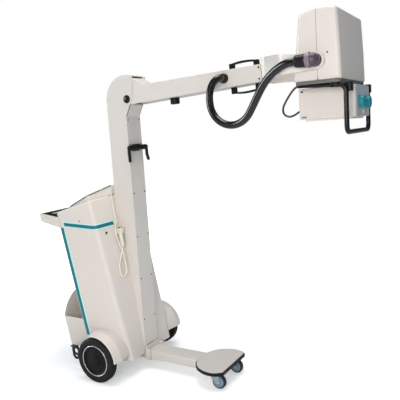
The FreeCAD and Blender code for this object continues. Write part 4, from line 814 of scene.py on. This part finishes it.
class DressConsole(bpy.types.Operator):
    """Sets keys, lamps and a bezel on the console's slope"""
    bl_idname = "xray_unit.console"
    bl_label = "Console"

    def execute(self, context):
        along = (1.0, 0.0, CONSOLE_SLOPE)
        level = (0.0, 1.0, 0.0)
        up = Vector((-CONSOLE_SLOPE, 0.0, 1.0))

        def slope_height(x):
            """Height of the console's slope at a length from the origin."""
            return CONSOLE_MIDDLE[1] + CONSOLE_SLOPE * (x - CONSOLE_MIDDLE[0])

        def on_fascia(x, y):
            """A point on the fascia's face."""
            return Vector((x, y, slope_height(x))) + up.normalized() * FASCIA_TOP
        key = rounded_box(0.0085, 0.0125, 0.003)
        rows = context.scene.xray_sizes.key_rows
        places = [on_fascia(-0.172 + 0.024 * i, -0.102 + 0.034 * j) for i in range(rows) for j in range(7)]
        for name, finish, group, height in (("console_keys", "key_pale", places[:-3], 0.0009),
                                            ("console_keys_green", "key_green", places[-3:-2], 0.0011),
                                            ("console_keys_blue", "key_blue", places[-2:], 0.0011)):
            put(name, pads(key, group, along, level, height, soft=0.0004), "chassis", finish)
        lamps = [on_fascia(-0.060, 0.084 + 0.014 * k) for k in range(3)]
        lamp = [(-0.001, 0.0), (-0.001, 0.0026), (0.0006, 0.0026), (0.0016, 0.0018), (0.002, 0.0)]
        put("console_lamps", spun(lamp, lamps, up, 24), "chassis", "key_green")
        ring = [(-0.001, 0.0152), (-0.001, 0.0192), (0.0012, 0.0192), (0.002, 0.0184), (0.002, 0.016),
                (0.0012, 0.0152)]
        put("stop_collar", spun(ring, on_fascia(-0.052, -0.096), up, 64), "chassis", "metal_black")
        rim = [(-0.2035, -0.1795), (-0.2035, -0.1845), (-0.150, -0.1825), (-0.090, -0.1725), (-0.055, -0.151),
               (0.000, -0.100), (0.0195, -0.0815)]
        for side, name in SIDES:
            route = [(x, -side * y, slope_height(x) + 0.0006) for x, y in rim]
            line, radii = round_ended(smooth_line(route, 10), 0.0040)
            put("console_rim_" + name, tube(line, radii, 12), "chassis", "trim_grey")
        return {"FINISHED"}


class DressInnerWorks(bpy.types.Operator):
    """Dresses the chassis, its blocks, the axle, the pedal and the console's plain parts"""
    bl_idname = "xray_unit.inner_works"
    bl_label = "Inner Works"

    def execute(self, context):
        dress(INNER_EDGES)
        return {"FINISHED"}


class BuildWheels(bpy.types.Operator):
    """Turns the rear tyres, their dished discs and the bright trim rings"""
    bl_idname = "xray_unit.wheels"
    bl_label = "Rear Wheels"

    def execute(self, context):
        outer = [(0.0012, 0.092), (0.0012, 0.0955), (0.0004, 0.0975), (0.0, 0.1), (0.0008, 0.103),
                 (0.0010, 0.107), (0.0004, 0.111), (0.0008, 0.1145), (0.0022, 0.1185), (0.0048, 0.1222),
                 (0.0082, 0.1245)]
        inner = [(WHEEL_WIDTH - d, r) for d, r in reversed(outer)]
        tread = [(0.0105, 0.125), (0.0120, 0.125), (0.0128, 0.1226), (0.0152, 0.1226), (0.0160, 0.125),
                 (0.0212, 0.125), (0.0217, 0.1235), (0.0233, 0.1235), (0.0238, 0.125),
                 (0.0290, 0.125), (0.0298, 0.1226), (0.0322, 0.1226), (0.0330, 0.125), (0.0345, 0.125)]
        face = [(0.0026, 0.0917), (0.0020, 0.0905), (0.0020, 0.0872), (0.0034, 0.0862), (0.0034, 0.0806),
                (0.0048, 0.0792), (0.0082, 0.0745), (0.0092, 0.0725), (0.0095, 0.069), (0.0078, 0.052),
                (0.0070, 0.0475), (0.0064, 0.0465), (0.0064, 0.0445), (0.0070, 0.0435), (0.0066, 0.036),
                (0.0052, 0.0300), (0.0024, 0.0285), (0.0013, 0.0262), (0.0009, 0.018), (0.0008, 0.0)]
        back = [(0.041, 0.0), (0.041, 0.026), (0.024, 0.034), (0.024, 0.074), (0.041, 0.081), (0.041, 0.0917)]
        ring = rounded([(0.0006, 0.0818), (0.0006, 0.0862), (0.006, 0.0862), (0.006, 0.0818)],
                       [0.0012, 0.0012, 0.0, 0.0])
        for side, name in SIDES:
            body = "wheel_" + name
            hub = (0.0, side * TRACK_HALF, WHEEL_RADIUS)
            inwards = (0.0, -side, 0.0)
            put("tyre_skin_" + name, spun(outer + tread + inner, hub, inwards, 144, 50.0), body, "tyre_black",
                ("tyre_" + name,))
            put("wheel_skin_" + name, spun(face + back, hub, inwards, 128, 30.0), body, "wheel_black",
                ("wheel_disc_" + name,))
            put("trim_ring_" + name, spun(ring, hub, inwards, 144, 60.0), body, "ring_bright")
        return {"FINISHED"}


class BuildCasters(bpy.types.Operator):
    """Turns the casters' treads and hubs, and sets their axle nuts"""
    bl_idname = "xray_unit.casters"
    bl_label = "Casters"

    def execute(self, context):
        x, y, z = CASTER_AXLE
        half = CASTER_HALF
        tread = rounded([(-half, 0.0292), (-half, CASTER_RADIUS), (half, CASTER_RADIUS), (half, 0.0292)],
                        [0.0008, 0.0062, 0.0062, 0.0008])
        face = [(half - 0.0006, 0.0288), (half - 0.0006, 0.0262), (half - 0.0018, 0.025),
                (half - 0.0065, 0.0236), (half - 0.0072, 0.016), (half - 0.0060, 0.0125),
                (half + 0.0004, 0.0112), (half + 0.0010, 0.0098), (half + 0.0010, 0.0042)]
        hub = face + [(-a, r) for a, r in reversed(face)]
        for side, name in SIDES:
            centre = (x, side * y, z)
            body = "caster_wheel_" + name
            put("caster_tread_" + name, spun(tread, centre, (0, 1, 0), 96, 60.0), body, "caster_tread",
                ("caster_tyre_" + name,))
            put("caster_hub_skin_" + name, spun(hub, centre, (0, 1, 0), 72), body, "caster_blue",
                ("caster_hub_" + name,))
            for way, end in ((side, "outer"), (-side, "inner")):
                screws(f"caster_nut_{name}_{end}", (x, side * y + way * NUT_OUT, z), (0, way, 0),
                       "caster_" + name, "steel", radius=0.0062, height=0.0028, count=6)
        return {"FINISHED"}


class DressFoot(bpy.types.Operator):
    """Dresses the foot beam, its plate and the rubber bumper"""
    bl_idname = "xray_unit.foot"
    bl_label = "Foot"

    def execute(self, context):
        dress(FOOT_EDGES)
        return {"FINISHED"}


class DressColumn(bpy.types.Operator):
    """Dresses the column, its panel with socket screws, and the park rest"""
    bl_idname = "xray_unit.column"
    bl_label = "Column"

    def execute(self, context):
        dress(COLUMN_EDGES)
        cups = [(PANEL_FACE, y, z) for z in SCREW_ROWS for y in (-SCREW_ASIDE, SCREW_ASIDE)]
        heads = [(PANEL_FACE - 0.0004, y, z) for _, y, z in cups]
        screws("column_screw_heads", heads, (1, 0, 0), "chassis", stands_for=("column_screws",),
               radius=context.scene.xray_sizes.screw_radius, height=0.0019)
        washer = [(-0.0004, 0.0046), (-0.0004, 0.0070), (0.0003, 0.0070), (0.0007, 0.0064), (0.0007, 0.0046)]
        put("column_screw_cups", spun(washer, cups, (1, 0, 0), 32), "chassis", "paint_cream")
        # painted shade: a thin dark strip along the top of the front panel, standing for the shade in the
        # seam between panel and column
        panel_low, panel_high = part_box("column_front_panel")
        seam = rounded_box((panel_high[1] - panel_low[1]) / 2 - 0.001, 0.0009, 0.0003)
        seam_at = (panel_high[0], 0.0, panel_high[2] - 0.0012)
        strip = pads(seam, seam_at, (0, 1, 0), (0, 0, 1), height=0.0004, soft=0.0002, sink=0.001)
        put("panel_seam_shade", strip, "chassis", "seam_shade")

        flange = [(-0.0005, 0.010), (-0.0005, 0.0216), (0.0018, 0.0216), (0.0034, 0.0200), (0.0038, 0.0160),
                  (0.0038, 0.010)]
        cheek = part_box("column_body")[1][1]
        x, z = REST_AT
        prong_y = REST_HALF - 0.006
        prong = [(0.0, 0.0, -0.004), (0.0, 0.0, -0.025), (0.001, 0.0, -0.045), (0.004, 0.003, -0.06),
                 (0.0065, 0.0055, -0.0765)]
        bar = round_ended(np.linspace((x, -REST_HALF, z), (x, REST_HALF, z), 24), 0.014)
        put("rest_bar", tube(*bar, 32), "chassis", "rubber_black", ("park_rest",))
        for side, name in SIDES:
            put("pivot_flange_" + name, spun(flange, (PIVOT.x, side * cheek, PIVOT.z), (0, side, 0), 72),
                "chassis", "wheel_black")
            route = [(x + ahead, side * (prong_y + out), z + up) for ahead, out, up in prong]
            put("rest_prong_" + name, tube(*round_ended(smooth_line(route, 8), 0.0085), 24), "chassis",
                "rubber_black")
        clamp = rounded_box(0.032, 0.019, 0.006)
        plate = pads(clamp, (PANEL_FACE, 0.0, z), (0, 1, 0), (0, 0, 1), height=0.004, soft=0.0012)
        put("rest_plate", plate, "chassis", "rubber_black")
        return {"FINISHED"}


class DressArm(bpy.types.Operator):
    """Dresses the arm with its grips, buffer and end screws"""
    bl_idname = "xray_unit.arm"
    bl_label = "Arm"

    def execute(self, context):
        dress(ARM_EDGES)
        along = Vector((math.cos(ARM_RISE), 0.0, math.sin(ARM_RISE)))
        across = Vector((-along.z, 0.0, along.x))
        end = PIVOT + along * ARM_SCREWS_AT
        for side, name, nodes in ((-1, "right", ("arm_screws",)), (1, "left", ())):
            places = [end + across * h + Vector((0.0, side * ARM_HALF, 0.0)) for h in (-0.010, 0.042)]
            screws("arm_screws_" + name, places, (0, side, 0), "arm", radius=0.0046, height=0.0022,
                   stands_for=nodes)
        return {"FINISHED"}


class BuildHose(bpy.types.Operator):
    """Runs the black cable hose from its gland on the arm to the elbow on the fork"""
    bl_idname = "xray_unit.hose"
    bl_label = "Cable Hose"

    def execute(self, context):
        diameter = context.scene.xray_sizes.hose_diameter
        hose = lay_cord("cable_hose", "hose", HOSE_ROUTE, diameter, 32, None, "hose_black")
        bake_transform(hose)
        gland_x, _, gland_z = HOSE_ROUTE[0]
        gland = [(0.0563, 0.0), (0.0563, 0.0228), (0.0572, 0.0234), (0.0622, 0.0234), (0.0632, 0.0226),
                 (0.0640, 0.0208), (0.0660, 0.0204), (0.0668, 0.0196), (0.0690, 0.0196), (0.0698, 0.0204),
                 (0.0722, 0.0204), (0.0730, 0.0196), (0.0752, 0.0196), (0.0760, 0.0204), (0.0800, 0.0202),
                 (0.0818, 0.0190), (0.0822, 0.0178), (0.0822, 0.0)]
        put("gland_skin", spun(gland, (gland_x, 0.0, gland_z), (0, -1, 0), 72), "arm", "plastic_black",
            ("hose_gland",))
        return {"FINISHED"}


class BuildElbow(bpy.types.Operator):
    """Turns the elbow, its clamp band and the ribbed cuff at the hose's end"""
    bl_idname = "xray_unit.elbow"
    bl_label = "Hose Elbow"

    def execute(self, context):
        centre = (TILT_AXIS.x, ELBOW_Y, TILT_AXIS.z)
        back = (-1, 0, 0)
        shell = [(-0.027 * math.cos(a), 0.027 * math.sin(a)) for a in np.linspace(0.0, math.pi / 2, 14)]
        shell += [(0.0015, 0.0272), (0.0025, 0.0276), (0.0040, 0.0276), (0.0050, 0.0270), (0.0095, 0.0270),
                  (0.0095, 0.0)]
        put("elbow_shell", spun(shell, centre, back, 96, 50.0), "fork", "elbow_grey", ("hose_elbow",))
        neck = [(0.0, 0.0), (0.0, 0.0232), (0.0205, 0.0232), (0.0225, 0.0246), (0.0240, 0.0262),
                (0.0300, 0.0262), (0.0307, 0.0254), (0.0307, 0.0)]
        put("elbow_neck", spun(neck, centre, (0, 1, 0)), "fork", "elbow_grey")
        band = rounded([(0.0082, 0.0262), (0.0082, 0.0285), (0.0278, 0.0285), (0.0278, 0.0262)],
                       [0.0, 0.001, 0.001, 0.0])
        put("clamp_band", spun(band, centre, back, 96, 60.0), "fork", "band_lilac")
        for way, name in ((1, "top"), (-1, "bottom")):
            lug = (centre[0] - 0.0125, centre[1] - 0.006, centre[2] + way * 0.0272)
            screws("clamp_screw_" + name, lug, (0, -0.2, way), "fork", radius=0.0042, height=0.0032,
                   count=16)
        cuff = [(0.0282, 0.0), (0.0282, 0.0262), (0.0300, 0.0272)]
        for k in range(5):
            at = 0.0330 + 0.0068 * k
            crest = 0.0272 - 0.0004 * k
            cuff += [(at, crest), (at + 0.0008, crest - 0.0016), (at + 0.0026, crest - 0.0016),
                     (at + 0.0034, crest - 0.0002)]
        cuff += [(0.0690, 0.0248), (0.0722, 0.0240), (0.0740, 0.0215), (0.0742, 0.0176), (0.0700, 0.0174),
                 (0.0640, 0.0172), (0.0640, 0.0)]
        put("cuff_skin", spun(cuff, centre, back), "fork", "cuff_dark", ("hose_cuff",))
        return {"FINISHED"}


class DressHead(bpy.types.Operator):
    """Dresses the fork, the head's covers and its base plate, and sets their caps and screws"""
    bl_idname = "xray_unit.head"
    bl_label = "Fork and Head"

    def execute(self, context):
        dress(HEAD_EDGES)
        # painted shade: a dark band laid along the split between the head's covers, standing for the shade in
        # the gap
        low, high = TILT_AXIS.z - 0.078, TILT_AXIS.z + 0.209
        seam = rounded([(-HEAD_HALF, low), (HEAD_HALF, low), (HEAD_HALF, high), (-HEAD_HALF, high)],
                       [0.0005, 0.0005, 0.016, 0.016], 12)
        band = ribbon(seam, (TILT_AXIS.x, 0.0, 0.0), (0.0, 1.0, 0.0), (0.0, 0.0, 1.0), half_width=0.0008,
                      proud=0.00015, depth=0.002)
        put("head_seam_shade", band, "head", "seam_shade")
        for side, name in SIDES:
            screws("head_screws_" + name, (1.293, side * HEAD_HALF, 1.600), (0, side, 0), "head",
                   radius=0.0036, height=0.0016)
        cap = [(-0.001, 0.0), (-0.001, 0.0215), (0.0035, 0.0215), (0.0065, 0.0190), (0.0088, 0.0120),
               (0.0095, 0.0)]
        put("tilt_cap", spun(cap, (TILT_AXIS.x, FORK_HALF, TILT_AXIS.z), (0, 1, 0), 64), "fork",
            "plastic_black")
        return {"FINISHED"}


class BuildGuideBar(bpy.types.Operator):
    """Bends the black guide bar under the head, with the clamps that hold it"""
    bl_idname = "xray_unit.guide_bar"
    bl_label = "Guide Bar"

    def execute(self, context):
        front, rear, low = TILT_AXIS.x + 0.108, TILT_AXIS.x - 0.095, TILT_AXIS.z - 0.292
        top, half = BAR_TOP, BAR_HALF
        turn = np.linspace(0.0, math.pi / 2, 9)[:, None]

        def corner(at, back, ahead):
            """Quarter turn at a corner: c - bend * (back sin a + ahead cos a), c inside the corner."""
            back, ahead = np.array(back, float), np.array(ahead, float)
            inside = np.array(at) + BAR_BEND * (back + ahead)
            return inside - BAR_BEND * (ahead * np.cos(turn) + back * np.sin(turn))
        path = np.concatenate([
            [(rear, -half, top), (rear + 0.02, -half, top)],
            corner((front, -half, top), (-1, 0, 0), (0, 0, -1)),
            corner((front, -half, low), (0, 0, 1), (0, 1, 0)),
            corner((front, half, low), (0, -1, 0), (0, 0, 1)),
            corner((front, half, top), (0, 0, -1), (-1, 0, 0)),
            [(rear + 0.02, half, top), (rear, half, top)]])
        bar = tube(*round_ended(path, BAR_RADIUS), 32)
        places = points_of(bar)
        flatness = np.clip((front - BAR_BEND - places[:, 0]) / 0.03, 0.0, 1.0) * BAR_FLATNESS
        flatness[places[:, 2] <= top - BAR_RADIUS - 0.0001] = 0.0
        places[:, 2] += flatness * (top + BAR_RADIUS - places[:, 2])
        bar.vertices.foreach_set("co", places.ravel())
        bar.update()
        put("guide_bar_skin", bar, "head", "metal_black", ("guide_bar",))
        square = rounded_box(0.0145, 0.0145, 0.005)
        oblong = rounded_box(0.016, 0.0125, 0.003)
        for side, name in SIDES:
            knuckle = pads(square, (front + 0.005, side * 0.1535, 1.4435), (1, 0, 0), (0, 1, 0),
                           height=0.036, soft=0.004)
            put("bar_knuckle_" + name, knuckle, "head", "plastic_black")
            clamp = pads(oblong, (TILT_AXIS.x + 0.062, side * half, 1.4618), (1, 0, 0), (0, 1, 0),
                         height=0.0195, soft=0.001)
            put("bar_clamp_" + name, clamp, "head", "plastic_black")
        return {"FINISHED"}


class DressCollimator(bpy.types.Operator):
    """Dresses the collimator with its knobs, button, latches and screws"""
    bl_idname = "xray_unit.collimator"
    bl_label = "Collimator"

    def execute(self, context):
        dress(COLLIMATOR_EDGES)
        dress(BUTTON_EDGES, "lamp_pale")
        half_x, half_y = COLLIMATOR_HALF
        front, rear = COLLIMATOR_X + half_x, COLLIMATOR_X - half_x
        latch = rounded_box(0.011, 0.0035, 0.0015)
        for side, name in SIDES:
            y = side * half_y
            dark = [(front - 0.052, y, COLLIMATOR_TOP - 0.010), (rear + 0.016, y, COLLIMATOR_TOP - 0.013)]
            screws("collimator_screws_" + name, dark, (0, side, 0), "collimator", radius=0.0050,
                   height=0.0020)
            latch_at = (rear + 0.022, y, COLLIMATOR_LOW + 0.010)
            bar = pads(latch, latch_at, (-side, 0, 0), (0, 0, 1), height=0.0012, soft=0.0005)
            put("collimator_latch_" + name, bar, "collimator", "frame_grey")
        ring = [(-0.001, 0.0094), (-0.001, 0.0128), (0.0009, 0.0128), (0.0014, 0.0122), (0.0014, 0.0098)]
        put("lamp_ring", spun(ring, (front, 0.0, TILT_AXIS.z - 0.212), (1, 0, 0), 48), "collimator",
            "lamp_rose")
        dial = [(-0.001, 0.0250), (-0.001, 0.0278), (0.0006, 0.0278), (0.0010, 0.0272), (0.0010, 0.0250)]
        knobs = [(front, y, TILT_AXIS.z - 0.172) for y in (-0.054, 0.054)]
        put("knob_dials", spun(dial, knobs, (1, 0, 0), 64), "collimator", "trim_grey")
        return {"FINISHED"}


class BuildCollimatorLead(bpy.types.Operator):
    """Runs the thin lead from the base plate to the collimator"""
    bl_idname = "xray_unit.collimator_lead"
    bl_label = "Collimator Lead"

    def execute(self, context):
        diameter = context.scene.xray_sizes.lead_diameter
        lead = lay_cord("thin_lead", "collimator_lead", LEAD_ROUTE, diameter, 20, None, "lead_black")
        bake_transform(lead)
        return {"FINISHED"}


class BuildExposureCord(bpy.types.Operator):
    """Runs the cream exposure cord from the console's boss to the hand switch"""
    bl_idname = "xray_unit.exposure_cord"
    bl_label = "Exposure Cord"

    def execute(self, context):
        dress(SWITCH_EDGES)
        diameter = context.scene.xray_sizes.cord_diameter
        lay_cord("exposure_line", "exposure_cord", EXPOSURE_ROUTE, diameter, 20, "chassis", "cord_cream")
        return {"FINISHED"}


class LightStage(bpy.types.Operator):
    """Sets the white floor, the soft lights and the photograph's camera"""
    bl_idname = "xray_unit.stage"
    bl_label = "Stage"

    def execute(self, context):
        scene = context.scene
        scene.view_settings.view_transform = "Standard"
        self.hang_sky(scene)
        self.lay_floor(scene)
        for name, (place, target, side, energy, colour) in LAMPS.items():
            light = bpy.data.lights.new(name, "AREA")
            light.shape = "SQUARE"
            light.size = side
            light.energy = energy
            light.color = colour
            holder = bpy.data.objects.new(name, light)
            scene.collection.objects.link(holder)
            way = Vector(target) - Vector(place)
            aimed = way.to_track_quat("-Z", "Y").to_matrix().to_4x4()
            holder.matrix_world = Matrix.Translation(place) @ aimed
        self.place_camera(scene)
        return {"FINISHED"}

    def hang_sky(self, scene):
        """White to the camera and through glass, dimmer as a light, with one bright patch for reflections."""
        world = bpy.data.worlds.new("studio")
        world.use_nodes = True
        scene.world = world
        tree = world.node_tree
        tree.nodes.clear()
        ray = add_node(tree, "ShaderNodeLightPath").outputs
        seen = add_node(tree, "ShaderNodeMath", {0: ray["Is Camera Ray"], 1: ray["Is Transmission Ray"]},
                        operation="MAXIMUM").outputs[0]
        dimmed = spread(ray["Is Glossy Ray"], 0.0, 1.0, SKY_AMBIENT, GLOSSY_SKY)
        white = add_node(tree, "ShaderNodeMath", {0: seen, 1: dimmed}, operation="MAXIMUM").outputs[0]
        way = add_node(tree, "ShaderNodeTexCoord").outputs["Generated"]
        near = add_node(tree, "ShaderNodeVectorMath", {0: way, 1: PATCH_WAY}, operation="DOT_PRODUCT")
        patch = spread(near.outputs["Value"], *PATCH_EDGE, 0.0, PATCH_LIGHT)
        lit = add_node(tree, "ShaderNodeMath", {0: patch, 1: ray["Is Glossy Ray"], 2: white},
                       operation="MULTIPLY_ADD").outputs[0]
        sky = add_node(tree, "ShaderNodeBackground",
                       {"Color": mixed(seen, SKY_TINT, (1.0, 1.0, 1.0)), "Strength": lit})
        add_node(tree, "ShaderNodeOutputWorld", {"Surface": sky.outputs[0]})

    def lay_floor(self, scene):
        """White floor that glows to the camera, more so away from the unit."""
        t = np.linspace(0, 2 * math.pi, FLOOR_COUNT, endpoint=False)
        circle = np.stack([np.cos(t), np.sin(t), np.zeros(FLOOR_COUNT)], -1)
        rings = [circle * reach + FLOOR_CENTRE for reach in FLOOR_RINGS]
        points = np.concatenate(rings + [[FLOOR_CENTRE]])
        faces = grid_faces(len(FLOOR_RINGS), FLOOR_COUNT, False, True)
        faces += [[k, (k + 1) % FLOOR_COUNT, len(points) - 1] for k in range(FLOOR_COUNT)]
        mesh = bpy.data.meshes.new("studio_floor")
        mesh.from_pydata(points.tolist(), [], faces)
        floor = bpy.data.objects.new("studio_floor", mesh)
        scene.collection.objects.link(floor)
        shader, place = new_finish("floor_white")
        mesh.materials.append(finishes["floor_white"])
        tree = place.id_data
        feed(shader, {"Base Color": mixed(noise(place, 2.0, 2.0), (0.86, 0.86, 0.865), (0.88, 0.88, 0.885)),
                      "Roughness": 0.9, "Specular IOR Level": 0.0})
        away = add_node(tree, "ShaderNodeVectorMath", {0: place, 1: GLOW_MIDDLE}, operation="DISTANCE")
        rising = spread(away.outputs["Value"], *GLOW_REACH, *GLOW_LIFT)
        ray = add_node(tree, "ShaderNodeLightPath").outputs["Is Camera Ray"]
        seen = add_node(tree, "ShaderNodeMath", {0: ray, 1: rising}, operation="MULTIPLY").outputs[0]
        glow = add_node(tree, "ShaderNodeEmission", {"Color": (1.0, 1.0, 1.0, 1.0), "Strength": seen})
        both = add_node(tree, "ShaderNodeAddShader", {0: shader.outputs[0], 1: glow.outputs[0]})
        feed(tree.nodes["Material Output"], {"Surface": both.outputs[0]})

    def place_camera(self, scene):
        """The camera that was solved from the photograph: turned, dipped and rolled in that order."""
        turn, dip, roll = (math.radians(a) for a in (CAMERA_TURN, CAMERA_DIP, CAMERA_ROLL))
        ahead = Vector((-math.sin(turn) * math.cos(dip), math.cos(turn) * math.cos(dip), -math.sin(dip)))
        level = Vector((math.cos(turn), math.sin(turn), 0.0))
        upward = level.cross(ahead)
        right = level * math.cos(roll) + upward * math.sin(roll)
        up = upward * math.cos(roll) - level * math.sin(roll)
        data = bpy.data.cameras.new("photo_camera")
        data.sensor_width = CAMERA_SENSOR
        data.lens = CAMERA_SENSOR * CAMERA_FOCAL_PX / IMAGE_PX
        camera = bpy.data.objects.new("photo_camera", data)
        scene.collection.objects.link(camera)
        camera.matrix_world = (Matrix.Translation(CAMERA_PLACE)
                               @ Matrix((right, up, -ahead)).transposed().to_4x4())
        scene.camera = camera


class XRAY_PT_unit(bpy.types.Panel):
    """Lists the unit's pieces and their sizes"""
    bl_idname = "XRAY_PT_unit"
    bl_label = "Mobile X-ray Unit"
    bl_space_type = "VIEW_3D"
    bl_region_type = "UI"
    bl_category = "X-ray Unit"

    def draw(self, context):
        layout = self.layout
        for group in (context.scene.xray_finishes, context.scene.xray_sizes):
            box = layout.box()
            for key in group.__annotations__:
                box.prop(group, key)
        for operator in STEPS:
            layout.operator(operator.bl_idname)


STEPS = (PaintFinishes, BuildHose, BuildCollimatorLead, BuildExposureCord, DressCabinet, DressConsole,
         DressInnerWorks, BuildWheels, BuildCasters, DressFoot, DressColumn, DressArm, BuildElbow, DressHead,
         BuildGuideBar, DressCollimator, LightStage)
CLASSES = (XrayFinishes, XraySizes) + STEPS + (XRAY_PT_unit,)


def register():
    for kind in CLASSES:
        bpy.utils.register_class(kind)
    bpy.types.Scene.xray_finishes = PointerProperty(type=XrayFinishes)
    bpy.types.Scene.xray_sizes = PointerProperty(type=XraySizes)


def unregister():
    del bpy.types.Scene.xray_sizes
    del bpy.types.Scene.xray_finishes
    for kind in reversed(CLASSES):
        bpy.utils.unregister_class(kind)


def main():
    register()
    bpy.ops.xray_unit.finishes()
    bpy.ops.xray_unit.hose()
    bpy.ops.xray_unit.collimator_lead()
    bpy.ops.xray_unit.exposure_cord()
    bpy.ops.xray_unit.cabinet()
    bpy.ops.xray_unit.console()
    bpy.ops.xray_unit.inner_works()
    bpy.ops.xray_unit.wheels()
    bpy.ops.xray_unit.casters()
    bpy.ops.xray_unit.foot()
    bpy.ops.xray_unit.column()
    bpy.ops.xray_unit.arm()
    bpy.ops.xray_unit.elbow()
    bpy.ops.xray_unit.head()
    bpy.ops.xray_unit.guide_bar()
    bpy.ops.xray_unit.collimator()
    bpy.ops.xray_unit.stage()


if __name__ == "__main__":
    main()
